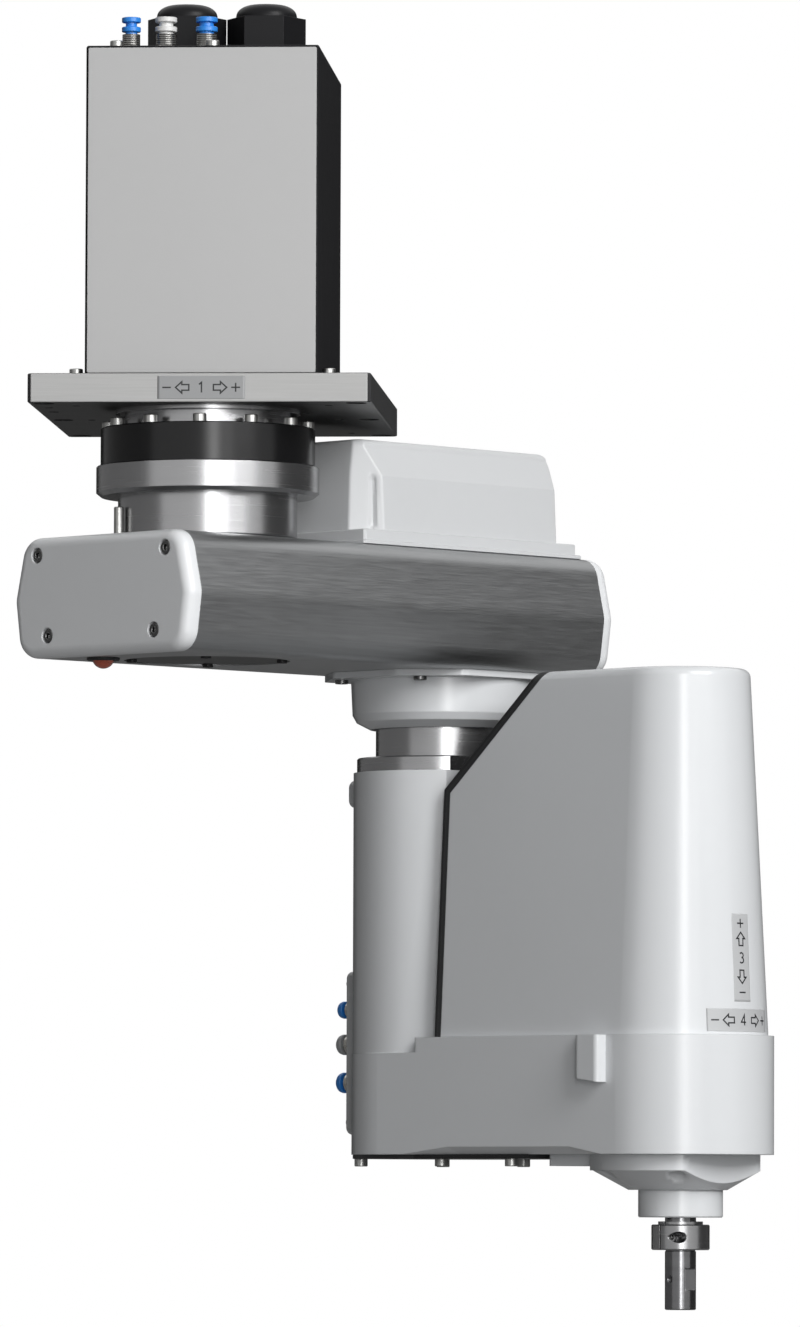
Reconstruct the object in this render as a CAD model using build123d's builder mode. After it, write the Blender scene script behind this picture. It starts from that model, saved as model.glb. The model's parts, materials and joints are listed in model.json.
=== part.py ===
"""Ceiling-mounted SCARA robot, 350 mm reach, 130 mm vertical stroke.

Millimetres, +Z up, +Y away from the front of the base box. The origin is the centre
of the mounting plate's bolt pattern, in the plane of its top face. Arm 1 and arm 2
are modelled in the pose they rest in, with the quill fully up.
"""

from build123d import *
from math import cos, radians, sin
import os

# fits
CLEAR = 0.1  # radial clearance of a screw in its hole
GAP = 0.3  # air between pieces that turn past each other
RUNNING = 0.05  # radial running fit of the quill in its two nuts

# arms
ARM_LENGTH = 175.0  # both arms, axis to axis
ARM1_ANGLE = 49.0  # resting direction of arm 1, from +X
ARM2_ANGLE = -42.25  # resting direction of arm 2, from +X

# mounting plate, measured from the first joint's axis
J1_Y = -50.0  # first joint's axis, from the centre of the bolt pattern
PLATE_W = 176.0
PLATE_FRONT = -58.0
PLATE_DEPTH = 216.0
PLATE_T = 15.0
BOLT_X = 80.0  # half the spacing of the bolt columns
BOLT_ROWS = (-50.0, 50.0, 150.0)
BOLT_D = 11.0
LOCATING_D = 6.0
PLATE_BORE_R = 31.0

# base box
BOX_W = 120.0
BOX_FRONT = -44.0
BOX_BACK = 120.0
BOX_H = 170.0
BOX_WALL = 2.0
BOX_EDGE_R = 1.3
PANEL_T = 1.0

# first joint, heights from the mounting plane
J1_RING_TOP = -24.3
J1_RING_BOTTOM = -43.9
J1_RING_R = 55.4
J1_BEARING_BOTTOM = -59.6
J1_BEARING_R = 57.6
J1_HOUSING_R = 46.3
J1_HUB_R = 28.0
J1_SCREW_CIRCLE = 51.6

# arm 1
ARM1_TOP = -82.0
ARM1_BOTTOM = -144.0
ARM1_WALL = 4.0
ARM1_START = -67.7
ARM1_END = ARM_LENGTH + 54.0
ARM1_CAP_T = 8.6
ARM1_HALF_TOP = 58.2
ARM1_HALF_RIDGE = 65.7
ARM1_HALF_BOTTOM = 61.5
ARM1_RIDGE_Z = -114.0

# second joint
CUP_FLANGE_T = 3.3
CUP_R = 49.3
CUP_BOTTOM = -173.0
TUBE_R = 35.9
TUBE_BOTTOM = -188.3
COLLAR_R = 45.8
COLUMN_TOP = -196.0
COLUMN_R = 47.6
COLUMN_FLAT = 35.0

# arm 2
HOUSING_TOP = -336.3
HOUSING_STEP = HOUSING_TOP - 7.9
HOUSING_STEP_X = 27.0
HOUSING_H = 61.0
HOUSING_BOTTOM = HOUSING_TOP - HOUSING_H
HOUSING_HALF = 48.0
HOUSING_WALL = 5.0
BOTTOM_PLATE_T = 2.2
COVER_TOP = -147.5
COVER_R_TOP = 35.4
COVER_R_BOTTOM = 45.0
COVER_WALL = 2.5
COVER_REAR = 44.3
COVER_KNEE = -208.8
COVER_SLOPE_X = ARM_LENGTH - 63.0
SEAL_T = 2.5
BACK_PLATE_T = 2.0

# quill and its nuts
QUILL_R = 8.0
QUILL_BORE_R = 5.5
QUILL_TOP = -157.0
STOP_R = 15.0
STOP_H = 13.1
NUT_COVER_R = 21.8
NUT_COVER_TOP = HOUSING_BOTTOM - 18.2
NUT_COVER_BOTTOM = NUT_COVER_TOP - 14.1
NUT_R = 14.0
BEARING_R = NUT_R + 5.0
U_BELT_Z = HOUSING_BOTTOM + 15.3
Z_BELT_Z = HOUSING_BOTTOM + 44.3
SPLINE_NUT_TOP = U_BELT_Z + 12.0
SPLINE_NUT_BOTTOM = NUT_COVER_BOTTOM + 2.6
BALL_NUT_TOP = Z_BELT_Z + 31.0
BALL_NUT_BOTTOM = Z_BELT_Z - 13.0
PULLEY_R = 20.0
MOTOR_PULLEY_R = 10.0
BELT_T = 1.4
BELT_W = 9.0
MOTOR_SIDE = 40.0
MOTOR_H = 100.0
MOTOR_PLATE_T = 6.0
STOP_TOP = NUT_COVER_BOTTOM - 3.6
STOP_BOTTOM = STOP_TOP - STOP_H
QUILL_END = STOP_BOTTOM - 30.7
MOTOR_GAP = (ARM_LENGTH - BEARING_R - COVER_REAR - 1.0 - 2 * MOTOR_SIDE) / 3
U_MOTOR_X = COVER_REAR + 0.5 + MOTOR_GAP + MOTOR_SIDE / 2
Z_MOTOR_X = U_MOTOR_X + MOTOR_GAP + MOTOR_SIDE

# screws: head radius, head height, shank radius, hexagon width
M4 = (3.5, 4.0, 2.0, 3.0)
M3 = (2.75, 1.8, 1.5, 2.0)

os.makedirs("parts", exist_ok=True)

j1_frame = Plane(origin=(0, J1_Y, 0), x_dir=(1, 0, 0), z_dir=(0, 0, 1))
arm1_frame = Plane(
    origin=(0, J1_Y, 0),
    x_dir=(cos(radians(ARM1_ANGLE)), sin(radians(ARM1_ANGLE)), 0),
    z_dir=(0, 0, 1),
)
j2_point = (
    ARM_LENGTH * cos(radians(ARM1_ANGLE)),
    J1_Y + ARM_LENGTH * sin(radians(ARM1_ANGLE)),
    0,
)
arm2_frame = Plane(
    origin=j2_point,
    x_dir=(cos(radians(ARM2_ANGLE)), sin(radians(ARM2_ANGLE)), 0),
    z_dir=(0, 0, 1),
)


def level(frame, z, x=0.0, y=0.0):
    """Horizontal plane of an arm's frame at height z, centred at x, y."""
    return Plane(
        origin=frame.from_local_coords(Vector(x, y, z)),
        x_dir=frame.x_dir,
        z_dir=(0, 0, 1),
    )


def section(frame, x):
    """Plane across an arm at x: its x is sideways and its y is up."""
    return Plane(
        origin=frame.from_local_coords(Vector(x, 0, 0)),
        x_dir=frame.y_dir,
        z_dir=frame.x_dir,
    )


def side(frame, y=0.0):
    """Upright plane along an arm: its x is along the arm and its y is up."""
    return Plane(
        origin=frame.from_local_coords(Vector(0, y, 0)),
        x_dir=frame.x_dir,
        z_dir=-frame.y_dir,
    )


def socket_screw(size, length):
    """A socket head screw: head above the XY plane, shank below it."""
    head_r, head_h, shank_r, key = size
    with BuildPart() as screw:
        Cylinder(head_r, head_h, align=(Align.CENTER, Align.CENTER, Align.MIN))
        chamfer(screw.edges().group_by(Axis.Z)[-1], 0.35)
        Cylinder(shank_r, length, align=(Align.CENTER, Align.CENTER, Align.MAX))
        with BuildSketch(Plane.XY.offset(head_h)):
            RegularPolygon(key / 2, 6, major_radius=False)
        extrude(amount=-0.55 * head_h, mode=Mode.SUBTRACT)
    return screw.part


def fitting_body(tube_r, hex_w, wall):
    """Body of a push-in tube fitting: bore, thread, flange nut outside, lock nut inside."""
    thread_r = tube_r + 1.2
    with BuildPart() as body:
        with BuildSketch():
            RegularPolygon(hex_w / 2, 6, major_radius=False)
        extrude(amount=2.4)
        Cylinder(thread_r, 8.4, align=(Align.CENTER, Align.CENTER, Align.MIN))
        Cylinder(thread_r - 0.6, wall + 6.5, align=(Align.CENTER, Align.CENTER, Align.MAX))
        with BuildSketch(Plane.XY.offset(-wall)):
            RegularPolygon(hex_w / 2, 6, major_radius=False)
        extrude(amount=-3.5)
        Cylinder(tube_r - 1.4, 40, mode=Mode.SUBTRACT)
        with Locations((0, 0, 5.0)):
            Cylinder(tube_r - 0.3, 10, align=(Align.CENTER, Align.CENTER, Align.MIN), mode=Mode.SUBTRACT)
    return body.part


def release_ring(tube_r, ring_r):
    """Release collar of a push-in fitting: a spool with two flanges, its stem in the body."""
    stem_r = tube_r - 0.35
    bore_r = tube_r - 1.4
    with BuildPart() as ring:
        with BuildSketch(Plane.XZ) as spool:
            with BuildLine():
                Polyline(
                    (bore_r, 5.9),
                    (stem_r, 5.9),
                    (stem_r, 9.7),
                    (ring_r - 0.3, 9.7),
                    (ring_r, 10.0),
                    (ring_r, 12.0),
                    (ring_r - 0.3, 12.3),
                    (ring_r - 2.0, 12.3),
                    (ring_r - 2.0, 14.6),
                    (ring_r - 0.3, 14.6),
                    (ring_r, 14.9),
                    (ring_r, 16.9),
                    (ring_r - 0.3, 17.2),
                    (bore_r, 17.2),
                    close=True,
                )
            make_face()
        revolve(axis=Axis.Z)
    return ring.part


# base: plate, box, glands, fittings, and the first joint's fixed half
with BuildPart(j1_frame) as base_plate:
    with BuildSketch(level(j1_frame, -PLATE_T)):
        with Locations((0, PLATE_FRONT + PLATE_DEPTH / 2)):
            Rectangle(PLATE_W, PLATE_DEPTH)
    extrude(amount=PLATE_T)
    chamfer(base_plate.edges().filter_by(Axis.Z), 2)
    chamfer(base_plate.faces().sort_by(Axis.Z)[-1].edges(), 0.5)
    chamfer(base_plate.faces().sort_by(Axis.Z)[0].edges(), 0.5)
    with Locations(*[(x, y, 0) for x in (-BOLT_X, BOLT_X) for y in BOLT_ROWS]):
        Hole(BOLT_D / 2)
    with Locations((-BOLT_X, 0, 0)):
        Hole(LOCATING_D / 2)
    with Locations((-BOLT_X, -25, 0)):
        Hole(2.25)
    with Locations((0, 0, 0)):
        Hole(PLATE_BORE_R)
    with Locations(*[(x, y, 0) for x in (-65, 65) for y in (-36, 50, 135)], (50, 12, 0)):
        Hole(M4[2] + CLEAR)
base_plate.part.label = "base_plate"

with BuildPart(j1_frame) as base_cover:
    with BuildSketch(j1_frame):
        with Locations((0, (BOX_FRONT + BOX_BACK) / 2)):
            Rectangle(BOX_W, BOX_BACK - BOX_FRONT)
    extrude(amount=BOX_H)
    fillet(base_cover.edges().filter_by(Axis.Z), BOX_EDGE_R)
    fillet(base_cover.faces().sort_by(Axis.Z)[-1].edges(), BOX_EDGE_R)
    offset(amount=-BOX_WALL, openings=base_cover.faces().sort_by(Axis.Z)[0])
    with Locations((-39, -20, BOX_H), (-21, -20, BOX_H), (0, -20, BOX_H)):
        Cylinder(4.9, 12, mode=Mode.SUBTRACT)
    with Locations((-15, 37, BOX_H), (26.5, 37, BOX_H)):
        Cylinder(12.6, 12, mode=Mode.SUBTRACT)
    with Locations((-45.5, -30, BOX_H), (4, -30, BOX_H)):
        Cylinder(M4[2] + CLEAR, 12, mode=Mode.SUBTRACT)
base_cover.part.label = "base_cover"

with BuildPart(j1_frame) as base_front_panel:
    with BuildSketch(side(j1_frame, BOX_FRONT)):
        with Locations((0, BOX_H / 2)):
            RectangleRounded(BOX_W - 2 * BOX_EDGE_R, BOX_H - 2 * BOX_EDGE_R, 0.8)
    extrude(amount=PANEL_T)
base_front_panel.part.label = "base_front_panel"

m4_long = socket_screw(M4, 12)
m3_short = socket_screw(M3, 5)

with BuildPart(j1_frame) as base_screws:
    with Locations((-65, -36, 0), (65, -36, 0), (-45.5, -30, BOX_H), (4, -30, BOX_H)):
        add(m4_long)
base_screws.part.label = "base_screws"

GLANDS = ((-15, 37), (26.5, 37))
GLAND_HEX = 35.6
with BuildPart(j1_frame) as gland_bodies:
    for gx, gy in GLANDS:
        with BuildSketch(level(j1_frame, BOX_H)):
            with Locations((gx, gy)):
                RegularPolygon(GLAND_HEX / 2, 6, major_radius=False)
        extrude(amount=6)
        with BuildSketch(level(j1_frame, BOX_H - 12)):
            with Locations((gx, gy)):
                Circle(12.5)
        extrude(amount=12)
        with BuildSketch(level(j1_frame, BOX_H - BOX_WALL - 5)):
            with Locations((gx, gy)):
                RegularPolygon(15, 6, major_radius=False)
        extrude(amount=5)
gland_bodies.part.label = "gland_bodies"

with BuildPart(j1_frame) as gland_nuts:
    for gx, gy in GLANDS:
        with BuildSketch(level(j1_frame, BOX_H + 6.3, gx, gy)):
            RegularPolygon(GLAND_HEX / 2, 6, major_radius=False)
        extrude(amount=17)
        with BuildSketch(side(level(j1_frame, 0, gx, gy))):
            with BuildLine():
                Line((0, BOX_H + 22), (15.9, BOX_H + 22))
                Line((15.9, BOX_H + 22), (15.9, BOX_H + 24))
                Spline((15.9, BOX_H + 24), (13.6, BOX_H + 28.6), (8.5, BOX_H + 30.5),
                       tangents=((0, 1), (-1, 0.12)))
                Line((8.5, BOX_H + 30.5), (0, BOX_H + 30.5))
                Line((0, BOX_H + 30.5), (0, BOX_H + 22))
            make_face()
        revolve(axis=Axis(level(j1_frame, 0, gx, gy).origin, (0, 0, 1)))
        with Locations((gx, gy, BOX_H + 30.5)):
            Cylinder(9.5, 6, align=(Align.CENTER, Align.CENTER, Align.MAX), mode=Mode.SUBTRACT)
gland_nuts.part.label = "gland_nuts"

BODY_SMALL = fitting_body(3.4, 11, BOX_WALL)
BODY_LARGE = fitting_body(4.1, 12, BOX_WALL)
RING_SMALL = release_ring(3.4, 4.9)
RING_LARGE = release_ring(4.1, 5.65)

with BuildPart(j1_frame) as top_fittings:
    with Locations((-39, -20, BOX_H)):
        add(BODY_SMALL)
    with Locations((-21, -20, BOX_H), (0, -20, BOX_H)):
        add(BODY_LARGE)
top_fittings.part.label = "top_fittings"

with BuildPart(j1_frame) as top_ring_a:
    with Locations((-39, -20, BOX_H)):
        add(RING_SMALL)
top_ring_a.part.label = "top_ring_a"

with BuildPart(j1_frame) as top_ring_b:
    with Locations((-21, -20, BOX_H)):
        add(RING_LARGE)
top_ring_b.part.label = "top_ring_b"

with BuildPart(j1_frame) as top_ring_c:
    with Locations((0, -20, BOX_H)):
        add(RING_LARGE)
top_ring_c.part.label = "top_ring_c"

with BuildPart(j1_frame) as j1_motor:
    with BuildSketch(j1_frame):
        RectangleRounded(76, 76, 6)
    extrude(amount=8)
    with BuildSketch(level(j1_frame, 8)):
        RectangleRounded(60, 60, 8)
    extrude(amount=84)
    with BuildSketch(level(j1_frame, 92)):
        RectangleRounded(56, 56, 8)
    extrude(amount=34)
    with BuildSketch(level(j1_frame, 96)):
        with Locations((0, 30)):
            Rectangle(24, 12)
    extrude(amount=22)
    Cylinder(PLATE_BORE_R - CLEAR, 6, align=(Align.CENTER, Align.CENTER, Align.MAX))
    Cylinder(9, 20, align=(Align.CENTER, Align.CENTER, Align.MAX))
j1_motor.part.label = "j1_motor"

with BuildPart(j1_frame) as j1_adapter:
    with BuildSketch(side(j1_frame)):
        with BuildLine():
            Polyline(
                (12, -PLATE_T + 6),
                (PLATE_BORE_R - CLEAR, -PLATE_T + 6),
                (PLATE_BORE_R - CLEAR, -PLATE_T),
                (47.8, -PLATE_T),
                (47.8, -PLATE_T - 2),
                (42.8, -PLATE_T - 2),
                (42.8, J1_RING_TOP),
                (12, J1_RING_TOP),
                close=True,
            )
        make_face()
    revolve(axis=Axis(j1_frame.origin, (0, 0, 1)))
j1_adapter.part.label = "j1_adapter"

with BuildPart(j1_frame) as j1_reducer_ring:
    with BuildSketch(level(j1_frame, J1_RING_BOTTOM)):
        Circle(J1_RING_R)
        Circle(20, mode=Mode.SUBTRACT)
        with PolarLocations(J1_SCREW_CIRCLE, 12, start_angle=-90):
            Circle(M4[2] + CLEAR, mode=Mode.SUBTRACT)
    extrude(amount=J1_RING_TOP - J1_RING_BOTTOM)
    chamfer(j1_reducer_ring.faces().sort_by(Axis.Z)[-1].edges().sort_by(Axis.Z).filter_by(
        lambda e: e.radius > 50), 0.5)
j1_reducer_ring.part.label = "j1_reducer_ring"

m4_ring = socket_screw(M4, J1_RING_TOP - J1_RING_BOTTOM + 5)
with BuildPart(j1_frame) as j1_ring_screws:
    with PolarLocations(J1_SCREW_CIRCLE, 12, start_angle=-90):
        with Locations((0, 0, J1_RING_TOP)):
            add(m4_ring)
j1_ring_screws.part.label = "j1_ring_screws"

with BuildPart(j1_frame) as j1_bearing_housing:
    with BuildSketch(side(j1_frame)):
        with BuildLine():
            Polyline(
                (J1_HUB_R + GAP, J1_RING_BOTTOM),
                (J1_BEARING_R - 0.6, J1_RING_BOTTOM),
                (J1_BEARING_R, J1_RING_BOTTOM - 0.6),
                (J1_BEARING_R, J1_BEARING_BOTTOM + 2.0),
                (J1_BEARING_R - 2.5, J1_BEARING_BOTTOM),
                (J1_HOUSING_R, J1_BEARING_BOTTOM),
                (J1_HOUSING_R, ARM1_TOP + GAP + 1),
                (J1_HOUSING_R - 1, ARM1_TOP + GAP),
                (J1_HUB_R + GAP, ARM1_TOP + GAP),
                close=True,
            )
        make_face()
    revolve(axis=Axis(j1_frame.origin, (0, 0, 1)))
    with PolarLocations(J1_SCREW_CIRCLE, 12, start_angle=-90):
        with Locations((0, 0, J1_RING_BOTTOM)):
            Cylinder(M4[2] + CLEAR, 5.5, align=(Align.CENTER, Align.CENTER, Align.MAX), mode=Mode.SUBTRACT)
j1_bearing_housing.part.label = "j1_bearing_housing"

# arm 1: a closed extrusion between two caps, with the second joint's motor and gear
J1_HUB_TOP = J1_RING_BOTTOM - 3


def arm1_outline(inset=0.0):
    """Corner points of arm 1's cross-section, sideways and up."""
    top = ARM1_TOP - inset
    bottom = ARM1_BOTTOM + inset
    return [
        (ARM1_HALF_TOP - inset, top),
        (ARM1_HALF_RIDGE - inset, ARM1_RIDGE_Z),
        (ARM1_HALF_BOTTOM - inset, bottom),
        (-ARM1_HALF_BOTTOM + inset, bottom),
        (-ARM1_HALF_RIDGE + inset, ARM1_RIDGE_Z),
        (-ARM1_HALF_TOP + inset, top),
    ]


CAP_SCREWS = ((47.2, -91.3), (-47.2, -91.3), (39.2, -132.9), (-39.2, -132.9))
LAMP_AT = (-54.7, 20.0)
STOP_PIN_AT = (-46.1, 18.1)
STOP_PIN_R = 2.5
ACCESS_R = 42.8
ACCESS_SCREW_R = 38.8

with BuildPart() as arm1_extrusion:
    with BuildSketch(section(arm1_frame, ARM1_START)) as arm1_profile:
        with BuildLine():
            Polyline(*arm1_outline(), close=True)
        make_face()
        fillet(arm1_profile.vertices().filter_by(lambda v: abs(v.Z - ARM1_RIDGE_Z) > 1), 12)
        fillet(arm1_profile.vertices().filter_by(lambda v: abs(v.Z - ARM1_RIDGE_Z) < 1), 40)
    extrude(amount=ARM1_END - ARM1_START)
    with BuildSketch(section(arm1_frame, ARM1_START)) as arm1_hollow:
        with BuildLine():
            Polyline(*arm1_outline(ARM1_WALL), close=True)
        make_face()
        fillet(arm1_hollow.vertices().filter_by(lambda v: abs(v.Z - ARM1_RIDGE_Z) > 1), 8)
        with Locations(*[(y, z) for y, z in CAP_SCREWS]):
            Circle(8.5, mode=Mode.SUBTRACT)
    extrude(amount=ARM1_END - ARM1_START, mode=Mode.SUBTRACT)
    for at in (ARM1_START, ARM1_END):
        with BuildSketch(section(arm1_frame, at)):
            with Locations(*[(y, z) for y, z in CAP_SCREWS]):
                Circle(M4[2] + CLEAR)
        extrude(amount=14 if at == ARM1_START else -14, mode=Mode.SUBTRACT)
    with BuildSketch(level(arm1_frame, ARM1_TOP)):
        Circle(J1_HUB_R + GAP)
        with Locations((ARM_LENGTH, 0)):
            Circle(31)
    extrude(amount=-2 * ARM1_WALL, mode=Mode.SUBTRACT)
    with BuildSketch(level(arm1_frame, ARM1_BOTTOM)):
        Circle(34)
        with Locations((ARM_LENGTH, 0)):
            Circle(42)
        with Locations(LAMP_AT):
            Circle(5.2)
        with PolarLocations(ACCESS_SCREW_R, 4, start_angle=45):
            Circle(M3[2] + CLEAR)
        with Locations(*[(ARM_LENGTH + x, y) for x in (-47.5, 47.5) for y in (-29, 29)]):
            Circle(M4[2] + CLEAR)
    extrude(amount=2 * ARM1_WALL, mode=Mode.SUBTRACT)
    with BuildSketch(level(arm1_frame, ARM1_BOTTOM)):
        Circle(ACCESS_R)
    extrude(amount=2.2, mode=Mode.SUBTRACT)
    with BuildSketch(level(arm1_frame, ARM1_TOP)):
        with Locations(STOP_PIN_AT):
            Circle(STOP_PIN_R + CLEAR)
    extrude(amount=-2 * ARM1_WALL, mode=Mode.SUBTRACT)
arm1_extrusion.part.label = "arm1_extrusion"


def arm1_cap(at, outward):
    """End cap of arm 1: the arm's outline, rounded outside, with four recessed screws."""
    with BuildPart() as cap:
        with BuildSketch(section(arm1_frame, at)) as outline:
            with BuildLine():
                Polyline(*arm1_outline(), close=True)
            make_face()
            fillet(outline.vertices().filter_by(lambda v: abs(v.Z - ARM1_RIDGE_Z) > 1), 12)
            fillet(outline.vertices().filter_by(lambda v: abs(v.Z - ARM1_RIDGE_Z) < 1), 40)
        extrude(amount=outward * ARM1_CAP_T)
        outer = cap.faces().sort_by(Axis(arm1_frame.origin, arm1_frame.x_dir))[-1 if outward > 0 else 0]
        fillet(outer.edges(), 5.5)
        with BuildSketch(section(arm1_frame, at)):
            with Locations(*CAP_SCREWS):
                Circle(M4[2] + CLEAR)
        extrude(amount=outward * ARM1_CAP_T, mode=Mode.SUBTRACT)
        with BuildSketch(section(arm1_frame, at + outward * (ARM1_CAP_T - 4.6))):
            with Locations(*CAP_SCREWS):
                Circle(M4[0] + 0.6)
        extrude(amount=outward * 8, mode=Mode.SUBTRACT)
    return cap


arm1_cap_rear = arm1_cap(ARM1_START, -1)
arm1_cap_rear.part.label = "arm1_cap_rear"
arm1_cap_front = arm1_cap(ARM1_END, 1)
arm1_cap_front.part.label = "arm1_cap_front"

with BuildPart(arm1_frame) as arm1_cap_screws:
    seat = ARM1_CAP_T - 4.6
    with Locations(*[Location((ARM1_START - seat, y, z), (0, -90, 0)) for y, z in CAP_SCREWS]):
        add(m4_long)
    with Locations(*[Location((ARM1_END + seat, y, z), (0, 90, 0)) for y, z in CAP_SCREWS]):
        add(m4_long)
arm1_cap_screws.part.label = "arm1_cap_screws"

with BuildPart() as j1_output_flange:
    with BuildSketch(side(j1_frame)):
        with BuildLine():
            Polyline(
                (14, J1_HUB_TOP),
                (J1_HUB_R - 1, J1_HUB_TOP),
                (J1_HUB_R, J1_HUB_TOP - 1),
                (J1_HUB_R, ARM1_TOP - ARM1_WALL),
                (38, ARM1_TOP - ARM1_WALL),
                (38, ARM1_TOP - ARM1_WALL - 8),
                (14, ARM1_TOP - ARM1_WALL - 8),
                close=True,
            )
        make_face()
    revolve(axis=Axis(j1_frame.origin, (0, 0, 1)))
j1_output_flange.part.label = "j1_output_flange"

with BuildPart() as stop_pin:
    with BuildSketch(level(arm1_frame, ARM1_TOP - ARM1_WALL, *STOP_PIN_AT)):
        Circle(STOP_PIN_R)
    extrude(amount=ARM1_WALL + 16)
    chamfer(stop_pin.edges().group_by(Axis.Z)[-1], 0.4)
stop_pin.part.label = "stop_pin"

with BuildPart() as arm1_access_cover:
    with BuildSketch(level(arm1_frame, ARM1_BOTTOM + 2.2)):
        Circle(ACCESS_R - GAP)
        with PolarLocations(ACCESS_SCREW_R, 4, start_angle=45):
            Circle(M3[2] + CLEAR, mode=Mode.SUBTRACT)
    extrude(amount=-1.5)
arm1_access_cover.part.label = "arm1_access_cover"

with BuildPart(arm1_frame) as arm1_access_screws:
    with PolarLocations(ACCESS_SCREW_R, 4, start_angle=45):
        with Locations(Location((0, 0, ARM1_BOTTOM + 0.7), (180, 0, 0))):
            add(m3_short)
arm1_access_screws.part.label = "arm1_access_screws"

lamp_plane = level(arm1_frame, ARM1_BOTTOM, *LAMP_AT)
with BuildPart(lamp_plane) as lamp_lens:
    with Locations((0, 0, 0.29)):
        Sphere(5.89)
    split(bisect_by=Plane.XY.offset(ARM1_BOTTOM - 1.2), keep=Keep.BOTTOM)
    with BuildSketch(lamp_plane):
        Circle(6.3)
    extrude(amount=-1.2)
    with BuildSketch(lamp_plane):
        Circle(5.0)
    extrude(amount=7)
lamp_lens.part.label = "lamp_lens"

# cover of the second joint's motor: a drafted casting on a stepped foot
MCOVER_START = J1_BEARING_R + 10.4
MCOVER_END = ARM_LENGTH + 41.0
MCOVER_HALF = 48.0
MCOVER_TOP = -26.5
MCOVER_CREASE = -52.0
MCOVER_FOOT = ARM1_TOP + 7.7
FOOT_LEVELS = (
    (MCOVER_START - 5.0, MCOVER_END + 10.5, MCOVER_HALF + 4.0, ARM1_TOP, ARM1_TOP + 2.0),
    (MCOVER_START - 3.0, MCOVER_END + 8.0, MCOVER_HALF + 2.0, ARM1_TOP + 2.0, MCOVER_FOOT),
)


def motor_cover_outline(inset, draft):
    """Plan of the motor cover: a rectangle with two cut corners towards the first joint."""
    half = MCOVER_HALF - inset - draft * 0.7
    start = MCOVER_START + inset + draft * 0.4
    end = MCOVER_END - inset - draft
    cut = 13.2 - 0.55 * inset
    return [
        (end, -half),
        (end, half),
        (start + cut, half),
        (start, half - cut),
        (start, -half + cut),
        (start + cut, -half),
    ]


def motor_cover_solid(inset, bottom):
    """Drafted body of the motor cover, or its hollow when inset."""
    with BuildPart() as solid:
        for z_low, z_high, d_low, d_high in (
            (bottom, MCOVER_CREASE, 0.0, 1.8),
            (MCOVER_CREASE, MCOVER_TOP - inset, 1.8, 6.0),
        ):
            with BuildSketch(level(arm1_frame, z_low)):
                with BuildLine():
                    Polyline(*motor_cover_outline(inset, d_low), close=True)
                make_face()
            with BuildSketch(level(arm1_frame, z_high)):
                with BuildLine():
                    Polyline(*motor_cover_outline(inset, d_high), close=True)
                make_face()
            loft(ruled=True)
    return solid


mcover_outer = motor_cover_solid(0.0, MCOVER_FOOT)
mcover_inner = motor_cover_solid(3.0, ARM1_TOP)
with BuildPart() as j2_motor_cover:
    add(mcover_outer.part)
    fillet(j2_motor_cover.faces().sort_by(Axis.Z)[-1].edges(), 4)
    for foot_start, foot_end, foot_half, foot_low, foot_high in FOOT_LEVELS:
        with BuildSketch(level(arm1_frame, foot_low, (foot_start + foot_end) / 2)):
            RectangleRounded(foot_end - foot_start, 2 * foot_half, 2)
        extrude(amount=foot_high - foot_low)
    add(mcover_inner.part, mode=Mode.SUBTRACT)
j2_motor_cover.part.label = "j2_motor_cover"

with BuildPart() as j2_motor:
    with BuildSketch(level(arm1_frame, ARM1_TOP, ARM_LENGTH)):
        RectangleRounded(70, 70, 5)
    extrude(amount=7)
    with BuildSketch(level(arm1_frame, ARM1_TOP + 7, ARM_LENGTH)):
        RectangleRounded(60, 60, 7)
    extrude(amount=36)
    with BuildSketch(level(arm1_frame, ARM1_TOP, ARM_LENGTH)):
        Circle(25)
    extrude(amount=-ARM1_WALL - 6)
j2_motor.part.label = "j2_motor"

FLANGE_SCREWS = tuple((x, y) for x in (-47.5, 47.5) for y in (-29, 29))
with BuildPart() as j2_reducer_cup:
    with BuildSketch(level(arm1_frame, ARM1_BOTTOM, ARM_LENGTH)) as cup_flange:
        with BuildLine():
            Polyline((60, -23), (60, 23), (37, 52.5), (-37, 52.5), (-60, 23), (-60, -23),
                     (-37, -52.5), (37, -52.5), close=True)
        make_face()
        fillet(cup_flange.vertices(), 6)
    extrude(amount=-CUP_FLANGE_T)
    with BuildSketch(side(level(arm1_frame, 0, ARM_LENGTH))):
        with BuildLine():
            Polyline(
                (0, ARM1_BOTTOM - 1),
                (CUP_R, ARM1_BOTTOM - 1),
                (CUP_R - 1.0, CUP_BOTTOM + 7.5),
                (CUP_R - 3.2, CUP_BOTTOM + 3.6),
                (TUBE_R + 3.2, CUP_BOTTOM),
                (0, CUP_BOTTOM),
                close=True,
            )
        make_face()
    revolve(axis=Axis(j2_point, (0, 0, 1)))
    with BuildSketch(level(arm1_frame, ARM1_BOTTOM, ARM_LENGTH)):
        Circle(CUP_R - 5)
    extrude(amount=-22, mode=Mode.SUBTRACT)
    with BuildSketch(level(arm1_frame, ARM1_BOTTOM, ARM_LENGTH)):
        Circle(TUBE_R + 1.6)
    extrude(amount=-40, mode=Mode.SUBTRACT)
    with BuildSketch(level(arm1_frame, ARM1_BOTTOM, ARM_LENGTH)):
        with Locations(*FLANGE_SCREWS):
            Circle(M4[2] + CLEAR)
    extrude(amount=-CUP_FLANGE_T, mode=Mode.SUBTRACT)
j2_reducer_cup.part.label = "j2_reducer_cup"

M4_LOW = (3.5, 2.2, 2.0, 2.5)
m4_button = socket_screw(M4_LOW, 7)
with BuildPart(arm1_frame) as j2_flange_screws:
    with Locations(*[Location((ARM_LENGTH + x, y, ARM1_BOTTOM - CUP_FLANGE_T), (180, 0, 0))
                     for x, y in FLANGE_SCREWS]):
        add(m4_button)
j2_flange_screws.part.label = "j2_flange_screws"

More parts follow.
